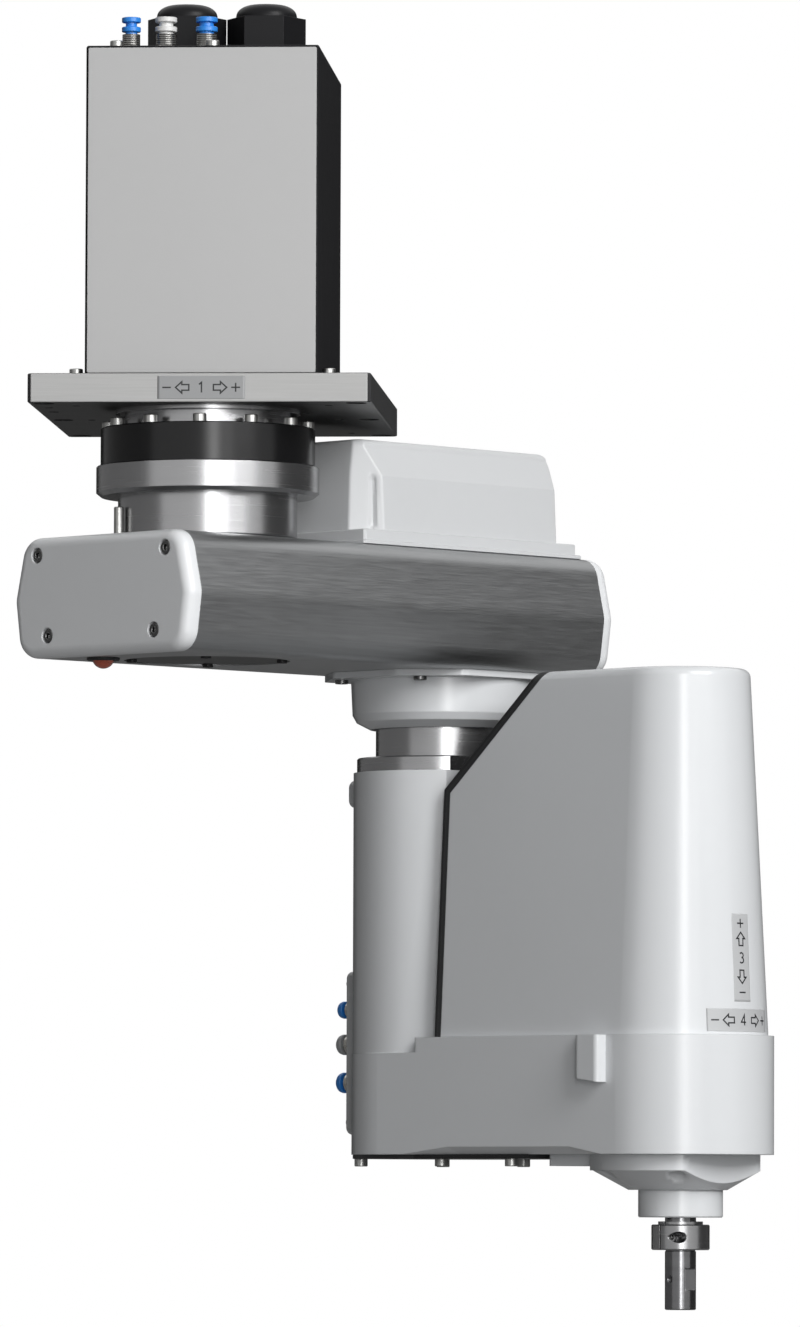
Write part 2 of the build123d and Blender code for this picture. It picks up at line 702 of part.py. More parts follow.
GEAR_BORE_R = 20.0
with BuildPart() as j2_gear_unit:
    with BuildSketch(level(arm1_frame, ARM1_BOTTOM - 18, ARM_LENGTH)):
        Circle(CUP_R - 5)
    extrude(amount=18)
    with BuildSketch(level(arm1_frame, ARM1_BOTTOM, ARM_LENGTH)):
        Circle(29)
    extrude(amount=34)
    with BuildSketch(level(arm1_frame, ARM1_BOTTOM - 18, ARM_LENGTH)):
        Circle(GEAR_BORE_R)
    extrude(amount=14, mode=Mode.SUBTRACT)
j2_gear_unit.part.label = "j2_gear_unit"

# arm 2: hollow column, long housing, cover, and the two motors inside
TUBE_TOP = ARM1_BOTTOM - 21
with BuildPart() as j2_output_tube:
    with BuildSketch(side(arm2_frame)):
        with BuildLine():
            Polyline(
                (20, TUBE_BOTTOM),
                (TUBE_R, TUBE_BOTTOM),
                (TUBE_R, TUBE_TOP - 0.6),
                (TUBE_R - 0.6, TUBE_TOP),
                (GEAR_BORE_R - GAP, TUBE_TOP),
                (GEAR_BORE_R - GAP, TUBE_TOP + 15),
                (14, TUBE_TOP + 15),
                (14, TUBE_TOP - 6),
                (20, TUBE_TOP - 6),
                close=True,
            )
        make_face()
    revolve(axis=Axis(j2_point, (0, 0, 1)))
j2_output_tube.part.label = "j2_output_tube"

with BuildPart() as j2_adapter_ring:
    with BuildSketch(level(arm2_frame, COLUMN_TOP)):
        Circle(COLLAR_R)
        with Locations((COLUMN_FLAT + 20, 0)):
            Rectangle(40, 100, mode=Mode.SUBTRACT)
        Circle(20, mode=Mode.SUBTRACT)
    extrude(amount=TUBE_BOTTOM - COLUMN_TOP)
    chamfer(j2_adapter_ring.faces().sort_by(Axis.Z)[-1].edges().filter_by(GeomType.CIRCLE).filter_by(
        lambda e: e.radius > 40), 0.6)
j2_adapter_ring.part.label = "j2_adapter_ring"


def stadium(frame_z, r, x_end):
    """Sketch of arm 2's long outline: half circles at the second joint and the quill."""
    with BuildSketch(level(arm2_frame, frame_z)) as outline:
        Circle(r)
        with Locations((x_end, 0)):
            Circle(r)
        with Locations((x_end / 2, 0)):
            Rectangle(x_end, 2 * r)
    return outline


POCKET_FLOOR = HOUSING_BOTTOM + 6
BOTTOM_PLATE_END = ARM_LENGTH - 69
PLATE_SCREWS = ((-30.3, -30.3), (-30.3, 30.3), (30.3, -30.3), (30.3, 30.3),
                (BOTTOM_PLATE_END - 18, -36), (BOTTOM_PLATE_END - 18, 36))
HOUSING_SCREWS = ((-19.5, -33.5), (-19.5, 33.5), (24, -27), (24, 27))
UNDER_SCREWS = PLATE_SCREWS + tuple((ARM_LENGTH + x, y) for x, y in HOUSING_SCREWS)
PAD_HALF = 17.0
PAD_X = -48.2
PAD_BOTTOM = HOUSING_BOTTOM + 10.7
PAD_TOP = PAD_BOTTOM + 86.6
REAR_FITTINGS_Z = (PAD_TOP - 20.0, PAD_TOP - 38.5, PAD_TOP - 58.8)
PANEL_SCREWS = tuple((y, z) for y in (-12.5, 12.5) for z in (PAD_TOP - 6.5, PAD_BOTTOM + 6.6))
BOSS_X = (ARM_LENGTH - 24.0, ARM_LENGTH - 7.0)
BOSS_OUT = 6.2

with BuildPart() as arm2_casting:
    # long housing, stepped down beside the column
    add(stadium(HOUSING_BOTTOM, HOUSING_HALF, ARM_LENGTH).sketch)
    extrude(amount=HOUSING_TOP - HOUSING_BOTTOM)
    with BuildSketch(level(arm2_frame, HOUSING_STEP)):
        with Locations((HOUSING_STEP_X - 50, 0)):
            Rectangle(100, 120)
    extrude(amount=20, mode=Mode.SUBTRACT)
    fillet(arm2_casting.edges().filter_by(Axis.Z).filter_by(
        lambda e: abs(arm2_frame.to_local_coords(e.center()).X - HOUSING_STEP_X) < 0.5), 2)
    # bevel along the lower edge of each flat flank, fading out towards both ends
    for flank in (-1, 1):
        with BuildSketch(side(arm2_frame, flank * (HOUSING_HALF + 0.5))):
            with BuildLine():
                Polyline((14, HOUSING_BOTTOM - 0.5), (52, HOUSING_BOTTOM + 4.2),
                         (ARM_LENGTH - 33, HOUSING_BOTTOM + 4.2),
                         (ARM_LENGTH - 7, HOUSING_BOTTOM - 0.5), close=True)
            make_face()
        with BuildSketch(side(arm2_frame, flank * (HOUSING_HALF - 7))):
            with BuildLine():
                Polyline((24, HOUSING_BOTTOM - 0.5), (56, HOUSING_BOTTOM - 0.2),
                         (ARM_LENGTH - 37, HOUSING_BOTTOM - 0.2),
                         (ARM_LENGTH - 17, HOUSING_BOTTOM - 0.5), close=True)
            make_face()
        loft(ruled=True, mode=Mode.SUBTRACT)
    # column under the second joint, flattened towards the cover above the knee
    with BuildSketch(level(arm2_frame, HOUSING_STEP)):
        Circle(COLUMN_R)
        with Locations((COLUMN_FLAT + 20, 0)):
            Rectangle(40, 100, mode=Mode.SUBTRACT)
    extrude(amount=COLUMN_TOP - HOUSING_STEP)
    with BuildSketch(level(arm2_frame, HOUSING_TOP - 2)):
        with Locations((COLUMN_FLAT, 0)):
            Rectangle(2 * (COVER_REAR - SEAL_T - BACK_PLATE_T - COLUMN_FLAT), 56)
    extrude(amount=122)
    # flat pad for the rear connector panel and the stop block above it
    with BuildSketch(level(arm2_frame, PAD_BOTTOM)):
        with Locations((PAD_X / 2, 0)):
            Rectangle(-PAD_X, 2 * PAD_HALF)
    extrude(amount=PAD_TOP - PAD_BOTTOM)
    with BuildSketch(level(arm2_frame, COLUMN_TOP - 25)) as stop_block:
        with Locations((-40, 0)):
            Rectangle(24, 30)
        chamfer(stop_block.vertices().filter_by(
            lambda v: arm2_frame.to_local_coords(v.center()).X < -50), 1.5)
    extrude(amount=16.5)
    # hooded boss on the near flank, its underside slanted
    with BuildSketch(level(arm2_frame, HOUSING_TOP)) as boss:
        with Locations(((BOSS_X[0] + BOSS_X[1]) / 2, -HOUSING_HALF + 3)):
            Rectangle(BOSS_X[1] - BOSS_X[0], 2 * (BOSS_OUT + 3))
        fillet(boss.vertices(), 3)
    extrude(amount=-26)
    with BuildSketch(side(arm2_frame, -HOUSING_HALF + 0.01)):
        with BuildLine():
            Polyline((BOSS_X[0] - 5, HOUSING_TOP - 21.5), (BOSS_X[1] + 5, HOUSING_TOP - 25),
                     (BOSS_X[1] + 5, HOUSING_TOP - 40), (BOSS_X[0] - 5, HOUSING_TOP - 40), close=True)
        make_face()
    extrude(amount=12, taper=0, mode=Mode.SUBTRACT)
    with BuildSketch(section(arm2_frame, PAD_X)):
        with Locations(*[(0, z) for z in REAR_FITTINGS_Z]):
            Circle(4.6)
    extrude(amount=14, mode=Mode.SUBTRACT)
    with BuildSketch(section(arm2_frame, PAD_X)):
        with Locations(*PANEL_SCREWS):
            Circle(M3[2] + CLEAR)
    extrude(amount=8, mode=Mode.SUBTRACT)
    # hollow column and the belt pocket
    with BuildSketch(level(arm2_frame, COLUMN_TOP)):
        Circle(20)
    extrude(amount=-12, mode=Mode.SUBTRACT)
    with BuildSketch(level(arm2_frame, COLUMN_TOP - 8)):
        Circle(COLUMN_R - 8)
        with Locations((50, 0)):
            Rectangle(40, 100, mode=Mode.SUBTRACT)
    extrude(amount=-(COLUMN_TOP - 8 - HOUSING_BOTTOM), mode=Mode.SUBTRACT)
    with BuildSketch(level(arm2_frame, POCKET_FLOOR)):
        with Locations((ARM_LENGTH, 0)):
            Circle(HOUSING_HALF - HOUSING_WALL)
        with Locations(((46 + ARM_LENGTH) / 2, 0)):
            Rectangle(ARM_LENGTH - 46, 2 * (HOUSING_HALF - HOUSING_WALL))
    extrude(amount=HOUSING_TOP - POCKET_FLOOR, mode=Mode.SUBTRACT)
    # cable way from the column into the cover, and the quill's bore in the floor
    with BuildSketch(side(arm2_frame, 9)):
        with Locations((30, -250)):
            Rectangle(40, 22)
    extrude(amount=18, mode=Mode.SUBTRACT)
    with BuildSketch(level(arm2_frame, HOUSING_BOTTOM, ARM_LENGTH)):
        Circle(BEARING_R)
    extrude(amount=6, mode=Mode.SUBTRACT)
    # tapped holes for the screws of the bottom plate and the nut housing
    with BuildSketch(level(arm2_frame, HOUSING_BOTTOM)):
        with Locations(*UNDER_SCREWS):
            Circle(4.5)
    extrude(amount=6)
    with BuildSketch(level(arm2_frame, HOUSING_BOTTOM)):
        with Locations(*UNDER_SCREWS):
            Circle(M4[2] + CLEAR)
    extrude(amount=6, mode=Mode.SUBTRACT)
arm2_casting.part.label = "arm2_casting"


def cover_outline(z, r, start):
    """D-shaped plan of the arm 2 cover at height z: straight flanks and a round nose."""
    with BuildSketch(level(arm2_frame, z)) as outline:
        with BuildLine():
            Line((start, -r), (ARM_LENGTH, -r))
            ThreePointArc((ARM_LENGTH, -r), (ARM_LENGTH + r, 0), (ARM_LENGTH, r))
            Line((ARM_LENGTH, r), (start, r))
            Line((start, r), (start, -r))
        make_face()
    return outline


def cover_solid(inset, top_round, z_low):
    """Tapered body of the arm 2 cover before its rear is cut, or its hollow when inset."""
    slope = (COVER_R_BOTTOM - COVER_R_TOP) / (COVER_TOP - HOUSING_TOP)
    z_high = COVER_TOP - inset
    r_low = COVER_R_BOTTOM - inset + slope * (HOUSING_TOP - z_low)
    r_high = COVER_R_BOTTOM - inset - slope * (z_high - HOUSING_TOP)
    with BuildPart() as solid:
        add(cover_outline(z_low, r_low, 20).sketch)
        add(cover_outline(z_high, r_high, 20).sketch)
        loft(ruled=True)
        top = solid.faces().sort_by(Axis.Z)[-1]
        fillet(top.edges(), top_round)
    return solid


def cover_side(shift, far_x):
    """The room in front of or behind the cover's rear edge moved back by shift."""
    with BuildSketch(side(arm2_frame, 60)) as profile:
        with BuildLine():
            Polyline(
                (far_x, HOUSING_TOP - 1),
                (COVER_REAR - shift, HOUSING_TOP - 1),
                (COVER_REAR - shift, COVER_KNEE + 0.42 * shift),
                (COVER_SLOPE_X - 1.36 * shift, COVER_TOP),
                (COVER_SLOPE_X - 1.36 * shift, COVER_TOP + 1),
                (far_x, COVER_TOP + 1),
                close=True,
            )
        make_face()
    return extrude(profile.sketch, amount=120)


BEHIND = -30.0
AHEAD = ARM_LENGTH + 65.0
cover_outer = cover_solid(0.0, 4.5, HOUSING_TOP)
cover_inner = cover_solid(COVER_WALL, 2.5, HOUSING_TOP)
behind_cover = cover_side(0, BEHIND)
ahead_of_seal = cover_side(0, AHEAD)
behind_seal = cover_side(SEAL_T, BEHIND)
ahead_of_plate = cover_side(SEAL_T, AHEAD)
behind_plate = cover_side(SEAL_T + BACK_PLATE_T, BEHIND)

with BuildPart() as arm2_cover:
    add(cover_outer.part.solids()[0])
    add(behind_cover, mode=Mode.SUBTRACT)
    add(cover_inner.part, mode=Mode.SUBTRACT)
arm2_cover.part.label = "arm2_cover"

with BuildPart() as cover_seal:
    add(cover_outer.part.solids()[0])
    add(behind_seal, mode=Mode.SUBTRACT)
    add(ahead_of_seal, mode=Mode.SUBTRACT)
    add(cover_inner.part, mode=Mode.SUBTRACT)
cover_seal.part.label = "cover_seal"

with BuildPart() as cover_back_plate:
    add(cover_outer.part.solids()[0])
    add(behind_plate, mode=Mode.SUBTRACT)
    add(ahead_of_plate, mode=Mode.SUBTRACT)
    with BuildSketch(side(arm2_frame, 9)):
        with Locations((40, -250)):
            Rectangle(20, 22)
    extrude(amount=18, mode=Mode.SUBTRACT)
cover_back_plate.part.label = "cover_back_plate"

with BuildPart() as rear_panel:
    with BuildSketch(section(arm2_frame, PAD_X)) as panel:
        with Locations((0, (PAD_TOP + PAD_BOTTOM) / 2)):
            RectangleRounded(2 * PAD_HALF, PAD_TOP - PAD_BOTTOM, 4)
        with Locations(*[(0, z) for z in REAR_FITTINGS_Z]):
            Circle(4.4, mode=Mode.SUBTRACT)
        with Locations(*PANEL_SCREWS):
            Circle(M3[2] + CLEAR, mode=Mode.SUBTRACT)
    extrude(amount=-5.5)
    fillet(rear_panel.faces().sort_by(Axis(j2_point, arm2_frame.x_dir))[0].outer_wire().edges(), 2.5)
rear_panel.part.label = "rear_panel"
PANEL_FACE = PAD_X - 5.5

with BuildPart(arm2_frame) as rear_panel_screws:
    with Locations(*[Location((PANEL_FACE, y, z), (0, -90, 0)) for y, z in PANEL_SCREWS]):
        add(m3_short)
rear_panel_screws.part.label = "rear_panel_screws"


def rear_body(tube_r):
    """Flush fitting in the rear panel: a bored sleeve that ends just outside the panel."""
    with BuildPart() as body:
        Cylinder(4.3, 9, align=(Align.CENTER, Align.CENTER, Align.MAX))
        Cylinder(tube_r + 1.8, 0.8, align=(Align.CENTER, Align.CENTER, Align.MIN))
        Cylinder(tube_r - 0.3, 30, mode=Mode.SUBTRACT)
    return body.part


def rear_ring(tube_r, ring_r):
    """Domed release collar of a rear fitting with its stem in the sleeve."""
    with BuildPart() as ring:
        with BuildSketch(Plane.XZ):
            with BuildLine():
                Polyline((tube_r - 1.4, -6), (tube_r - 0.35, -6), (tube_r - 0.35, 2.4), (ring_r, 2.4))
                Line((ring_r, 2.4), (ring_r, 3.4))
                ThreePointArc((ring_r, 3.4), (ring_r - 0.6, 4.8), (ring_r - 2.0, 5.4))
                Polyline((ring_r - 2.0, 5.4), (tube_r - 1.4, 5.4), (tube_r - 1.4, -6))
            make_face()
        revolve(axis=Axis.Z)
    return ring.part


with BuildPart(arm2_frame) as rear_fittings:
    with Locations(Location((PANEL_FACE, 0, REAR_FITTINGS_Z[0]), (0, -90, 0))):
        add(rear_body(2.6))
    with Locations(*[Location((PANEL_FACE, 0, z), (0, -90, 0)) for z in REAR_FITTINGS_Z[1:]]):
        add(rear_body(3.4))
rear_fittings.part.label = "rear_fittings"

with BuildPart(arm2_frame) as rear_ring_a:
    with Locations(Location((PANEL_FACE, 0, REAR_FITTINGS_Z[0]), (0, -90, 0))):
        add(rear_ring(2.6, 4.6))
rear_ring_a.part.label = "rear_ring_a"

with BuildPart(arm2_frame) as rear_ring_b:
    with Locations(Location((PANEL_FACE, 0, REAR_FITTINGS_Z[1]), (0, -90, 0))):
        add(rear_ring(3.4, 5.5))
rear_ring_b.part.label = "rear_ring_b"

with BuildPart(arm2_frame) as rear_ring_c:
    with Locations(Location((PANEL_FACE, 0, REAR_FITTINGS_Z[2]), (0, -90, 0))):
        add(rear_ring(3.4, 5.5))
rear_ring_c.part.label = "rear_ring_c"

with BuildPart() as arm2_bottom_plate:
    with BuildSketch(level(arm2_frame, HOUSING_BOTTOM)) as plate:
        Circle(COLUMN_R - 0.3)
        with Locations((BOTTOM_PLATE_END / 2, 0)):
            Rectangle(BOTTOM_PLATE_END, 2 * (COLUMN_R - 5.5))
        with Locations(*PLATE_SCREWS):
            Circle(M4[2] + CLEAR, mode=Mode.SUBTRACT)
    extrude(amount=-BOTTOM_PLATE_T)
arm2_bottom_plate.part.label = "arm2_bottom_plate"

with BuildPart() as nut_housing:
    # tongue towards the second joint, then the body with a flat front part and a cone
    with BuildSketch(level(arm2_frame, HOUSING_BOTTOM)) as tongue:
        with Locations((ARM_LENGTH - 44, 0)):
            Rectangle(46, 60)
        fillet(tongue.vertices(), 3)
    extrude(amount=-6)
    with BuildSketch(level(arm2_frame, HOUSING_BOTTOM, ARM_LENGTH)) as body_low:
        Circle(41.0)
        with BuildLine():
            Polyline((-36, -24), (-30, -36), (-6, -40.5), (-6, 40.5), (-30, 36), (-36, 24), close=True)
        make_face()
    extrude(amount=-8.3)
    with BuildSketch(side(level(arm2_frame, 0, ARM_LENGTH))):
        with BuildLine():
            Polyline(
                (0, HOUSING_BOTTOM - 8.3),
                (41, HOUSING_BOTTOM - 8.3),
                (24, NUT_COVER_TOP),
                (0, NUT_COVER_TOP),
                close=True,
            )
        make_face()
    revolve(axis=Axis(arm2_frame.from_local_coords(Vector(ARM_LENGTH, 0, 0)), (0, 0, 1)))
    with BuildSketch(level(arm2_frame, HOUSING_BOTTOM - 8.3)):
        with BuildLine():
            Polyline((ARM_LENGTH - 36, -24), (ARM_LENGTH - 30, -34), (ARM_LENGTH, -34), (ARM_LENGTH, 34),
                     (ARM_LENGTH - 30, 34), (ARM_LENGTH - 36, 24), close=True)
        make_face()
    with BuildSketch(level(arm2_frame, NUT_COVER_TOP)):
        with BuildLine():
            Polyline((ARM_LENGTH - 24, -12), (ARM_LENGTH - 20, -18), (ARM_LENGTH, -23), (ARM_LENGTH, 23),
                     (ARM_LENGTH - 20, 18), (ARM_LENGTH - 24, 12), close=True)
        make_face()
    loft(ruled=True)
    with Locations(*[Location(level(arm2_frame, HOUSING_BOTTOM - 4.3, ARM_LENGTH + x, y))
                     for x, y in HOUSING_SCREWS]):
        Cylinder(M4[0] + 0.5, 20, align=(Align.CENTER, Align.CENTER, Align.MAX), mode=Mode.SUBTRACT)
        Cylinder(M4[2] + CLEAR, 20, mode=Mode.SUBTRACT)
    with BuildSketch(level(arm2_frame, HOUSING_BOTTOM, ARM_LENGTH)):
        Circle(BEARING_R)
    extrude(amount=-5, mode=Mode.SUBTRACT)
    with BuildSketch(level(arm2_frame, HOUSING_BOTTOM, ARM_LENGTH)):
        Circle(NUT_R + 1)
    extrude(amount=-30, mode=Mode.SUBTRACT)
nut_housing.part.label = "nut_housing"

m4_under = socket_screw(M4, 7)
with BuildPart(arm2_frame) as arm2_under_screws:
    with Locations(*[Location((x, y, HOUSING_BOTTOM - BOTTOM_PLATE_T), (180, 0, 0))
                     for x, y in PLATE_SCREWS]):
        add(m4_under)
    with Locations(*[Location((ARM_LENGTH + x, y, HOUSING_BOTTOM - 4.3), (180, 0, 0))
                     for x, y in HOUSING_SCREWS]):
        add(m4_under)
arm2_under_screws.part.label = "arm2_under_screws"

with BuildPart() as nut_cover:
    with BuildSketch(level(arm2_frame, NUT_COVER_BOTTOM, ARM_LENGTH)):
        Circle(NUT_COVER_R)
        Circle(NUT_R + GAP, mode=Mode.SUBTRACT)
    extrude(amount=NUT_COVER_TOP - NUT_COVER_BOTTOM)
    with BuildSketch(level(arm2_frame, NUT_COVER_BOTTOM, ARM_LENGTH)):
        Circle(NUT_R + 1)
        Circle(QUILL_R + 1.5, mode=Mode.SUBTRACT)
    extrude(amount=1.6)
    chamfer(nut_cover.faces().sort_by(Axis.Z)[0].outer_wire().edges(), 0.6)
nut_cover.part.label = "nut_cover"

MOTOR_PLATE_Z = HOUSING_TOP - MOTOR_PLATE_T
with BuildPart() as motor_plate:
    with BuildSketch(level(arm2_frame, MOTOR_PLATE_Z)) as carrier:
        with Locations((ARM_LENGTH, 0)):
            Circle(HOUSING_HALF - HOUSING_WALL - 0.2)
        with Locations(((47 + ARM_LENGTH) / 2, 0)):
            Rectangle(ARM_LENGTH - 47, 2 * (HOUSING_HALF - HOUSING_WALL - 0.2))
        with Locations((U_MOTOR_X, 0), (Z_MOTOR_X, 0)):
            Circle(11, mode=Mode.SUBTRACT)
        with Locations((ARM_LENGTH, 0)):
            Circle(BEARING_R, mode=Mode.SUBTRACT)
    extrude(amount=MOTOR_PLATE_T)
motor_plate.part.label = "motor_plate"

BEARING_H = 11.0
with BuildPart() as nut_bearings:
    for low in (HOUSING_BOTTOM - 5, MOTOR_PLATE_Z):
        with BuildSketch(level(arm2_frame, low, ARM_LENGTH)):
            Circle(BEARING_R)
            Circle(NUT_R + GAP, mode=Mode.SUBTRACT)
        extrude(amount=BEARING_H)
nut_bearings.part.label = "nut_bearings"


def servo(x, height):
    """Small square servo motor on the motor plate, its pilot in the plate's hole."""
    with BuildPart() as motor:
        with BuildSketch(level(arm2_frame, HOUSING_TOP, x)):
            RectangleRounded(MOTOR_SIDE, MOTOR_SIDE, 3)
        extrude(amount=height * 0.62)
        with BuildSketch(level(arm2_frame, HOUSING_TOP + height * 0.62, x)):
            RectangleRounded(MOTOR_SIDE - 3, MOTOR_SIDE - 3, 3)
        extrude(amount=height * 0.38)
        with BuildSketch(level(arm2_frame, HOUSING_TOP, x)):
            Circle(11 - CLEAR)
            Circle(4 + GAP, mode=Mode.SUBTRACT)
        extrude(amount=-3)
        with BuildSketch(level(arm2_frame, HOUSING_TOP, x)):
            Circle(4 + GAP)
        extrude(amount=6, mode=Mode.SUBTRACT)
    return motor


with BuildPart() as arm2_motors:
    add(servo(U_MOTOR_X, MOTOR_H).part)
    add(servo(Z_MOTOR_X, MOTOR_H).part)
arm2_motors.part.label = "arm2_motors"


def drive_belt(z, x_motor):
    """Closed flat belt round a motor pulley and a nut pulley, a little air inside it."""
    def hull(extra):
        """Outline round both pulleys, extra outside their rims."""
        run = ARM_LENGTH - x_motor
        lean = (PULLEY_R - MOTOR_PULLEY_R) / run
        rise = (1 - lean * lean) ** 0.5
        big = PULLEY_R + extra
        small = MOTOR_PULLEY_R + extra
        with BuildSketch(level(arm2_frame, z - BELT_W / 2)) as outline:
            with Locations((ARM_LENGTH, 0)):
                Circle(big)
            with Locations((x_motor, 0)):
                Circle(small)
            with BuildLine():
                Polyline(
                    (ARM_LENGTH - big * lean, big * rise),
                    (x_motor - small * lean, small * rise),
                    (x_motor - small * lean, -small * rise),
                    (ARM_LENGTH - big * lean, -big * rise),
                    close=True,
                )
            make_face()
        return outline

    with BuildPart() as belt:
        add(hull(GAP + BELT_T).sketch)
        extrude(amount=BELT_W)
        add(hull(GAP).sketch)
        extrude(amount=BELT_W, mode=Mode.SUBTRACT)
    return belt


u_belt = drive_belt(U_BELT_Z, U_MOTOR_X)
u_belt.part.label = "u_belt"
z_belt = drive_belt(Z_BELT_Z, Z_MOTOR_X)
z_belt.part.label = "z_belt"


# turning nuts and pulleys
def pulley(z, x, r, bore):
    """Belt pulley with a flange above and below the belt."""
    with BuildPart() as wheel:
        with BuildSketch(level(arm2_frame, z - BELT_W / 2 - 0.5, x)):
            Circle(r)
            Circle(bore, mode=Mode.SUBTRACT)
        extrude(amount=BELT_W + 1)
        for low in (z - BELT_W / 2 - 2, z + BELT_W / 2 + 0.5):
            with BuildSketch(level(arm2_frame, low, x)):
                Circle(r + 2.2)
                Circle(bore, mode=Mode.SUBTRACT)
            extrude(amount=1.5)
    return wheel


def nut(z_low, z_high):
    """Sleeve nut that the quill runs in."""
    with BuildPart() as sleeve:
        with BuildSketch(level(arm2_frame, z_low, ARM_LENGTH)):
            Circle(NUT_R)
            Circle(QUILL_R + RUNNING, mode=Mode.SUBTRACT)
        extrude(amount=z_high - z_low)
    return sleeve


spline_nut = nut(SPLINE_NUT_BOTTOM, SPLINE_NUT_TOP)
spline_nut.part.label = "spline_nut"
u_pulley = pulley(U_BELT_Z, ARM_LENGTH, PULLEY_R, NUT_R)
u_pulley.part.label = "u_pulley"
ball_nut = nut(BALL_NUT_BOTTOM, BALL_NUT_TOP)
ball_nut.part.label = "ball_nut"
z_pulley = pulley(Z_BELT_Z, ARM_LENGTH, PULLEY_R, NUT_R)
z_pulley.part.label = "z_pulley"


def motor_shaft(z, x):
    """Motor shaft with its pulley, turning in the motor."""
    with BuildPart() as shaft:
        add(pulley(z, x, MOTOR_PULLEY_R, 4).part)
        with BuildSketch(level(arm2_frame, z - BELT_W / 2 - 2, x)):
            Circle(4)
        extrude(amount=HOUSING_TOP + 5 - (z - BELT_W / 2 - 2))
    return shaft


u_motor_shaft = motor_shaft(U_BELT_Z, U_MOTOR_X)
u_motor_shaft.part.label = "u_motor_shaft"
z_motor_shaft = motor_shaft(Z_BELT_Z, Z_MOTOR_X)
z_motor_shaft.part.label = "z_motor_shaft"

# the quill, with its stop collar above the tool end
RELIEF_W = 0.5
TOOL_END_TOP = STOP_BOTTOM - RELIEF_W
FLAT_LOW = QUILL_END + 10.3
FLAT_H = 10.5
with BuildPart() as quill:
    with BuildSketch(level(arm2_frame, QUILL_END, ARM_LENGTH)):
        Circle(QUILL_R)
        Circle(QUILL_BORE_R, mode=Mode.SUBTRACT)
    extrude(amount=QUILL_TOP - QUILL_END)
    # relief grooves under the collar part the tool end from the running length
    with BuildSketch(level(arm2_frame, TOOL_END_TOP, ARM_LENGTH)):
        Circle(QUILL_R + 1)
        Circle(QUILL_R - 0.2, mode=Mode.SUBTRACT)
    extrude(amount=RELIEF_W, mode=Mode.SUBTRACT)
    with BuildSketch(level(arm2_frame, TOOL_END_TOP, ARM_LENGTH)):
        Circle(QUILL_BORE_R + 0.2)
    extrude(amount=RELIEF_W, mode=Mode.SUBTRACT)
    chamfer(quill.faces().sort_by(Axis.Z)[0].outer_wire().edges(), 0.5)
    chamfer(quill.faces().sort_by(Axis.Z)[-1].outer_wire().edges(), 0.5)
    flat_plane = Plane(
        origin=arm2_frame.from_local_coords(Vector(ARM_LENGTH, 0, FLAT_LOW + FLAT_H / 2)),
        x_dir=arm2_frame.y_dir,
        z_dir=arm2_frame.x_dir,
    )
    with BuildSketch(flat_plane.offset(QUILL_R - 1)):
        Rectangle(20, FLAT_H)
    extrude(amount=4, mode=Mode.SUBTRACT)
    dimple_plane = Plane(
        origin=arm2_frame.from_local_coords(Vector(ARM_LENGTH, 0, QUILL_END + 15.8)),
        x_dir=(0, 0, 1),
        z_dir=-arm2_frame.y_dir,
    )
    with BuildSketch(dimple_plane.offset(QUILL_R + 0.2)):
        Circle(1.7)
    extrude(amount=-1.7, taper=44, mode=Mode.SUBTRACT)
quill.part.label = "quill"

with BuildPart() as stop_collar:
    with BuildSketch(level(arm2_frame, STOP_BOTTOM, ARM_LENGTH)):
        Circle(STOP_R)
        Circle(QUILL_R, mode=Mode.SUBTRACT)
    extrude(amount=STOP_TOP - STOP_BOTTOM)
    chamfer(stop_collar.faces().sort_by(Axis.Z)[0].outer_wire().edges(), 0.6)
    chamfer(stop_collar.faces().sort_by(Axis.Z)[-1].outer_wire().edges(), 0.6)
    with BuildSketch(level(arm2_frame, STOP_TOP, ARM_LENGTH)):
        Circle(11.5)
        Circle(QUILL_R, mode=Mode.SUBTRACT)
    extrude(amount=1.6)
    collar_plane = Plane(
        origin=arm2_frame.from_local_coords(Vector(ARM_LENGTH, 0, (STOP_TOP + STOP_BOTTOM) / 2)),
        x_dir=arm2_frame.x_dir,
        z_dir=-arm2_frame.y_dir,
    )
    # slit that the clamp screw closes, then the screw's pocket and its hole
    with BuildSketch(collar_plane):
        Rectangle(0.8, 20)
    extrude(amount=16, mode=Mode.SUBTRACT)
    screw_plane = Plane(
        origin=collar_plane.from_local_coords(Vector(2.0, 0, 11.2)),
        x_dir=(0, 0, 1),
        z_dir=arm2_frame.x_dir,
    )
    with BuildSketch(screw_plane):
        Circle(2.9)
    extrude(amount=14, mode=Mode.SUBTRACT)
    with BuildSketch(screw_plane):
        Circle(1.6)
    extrude(amount=-11, mode=Mode.SUBTRACT)
stop_collar.part.label = "stop_collar"

with BuildPart(screw_plane) as collar_screw:
    with BuildSketch(screw_plane):
        Circle(1.5)
    extrude(amount=-9)
    with BuildSketch(screw_plane):
        Circle(2.7)
    extrude(amount=3)
    with BuildSketch(screw_plane.offset(3)):
        RegularPolygon(1.25, 6, major_radius=False)
    extrude(amount=-1.6, mode=Mode.SUBTRACT)
collar_screw.part.label = "collar_screw"

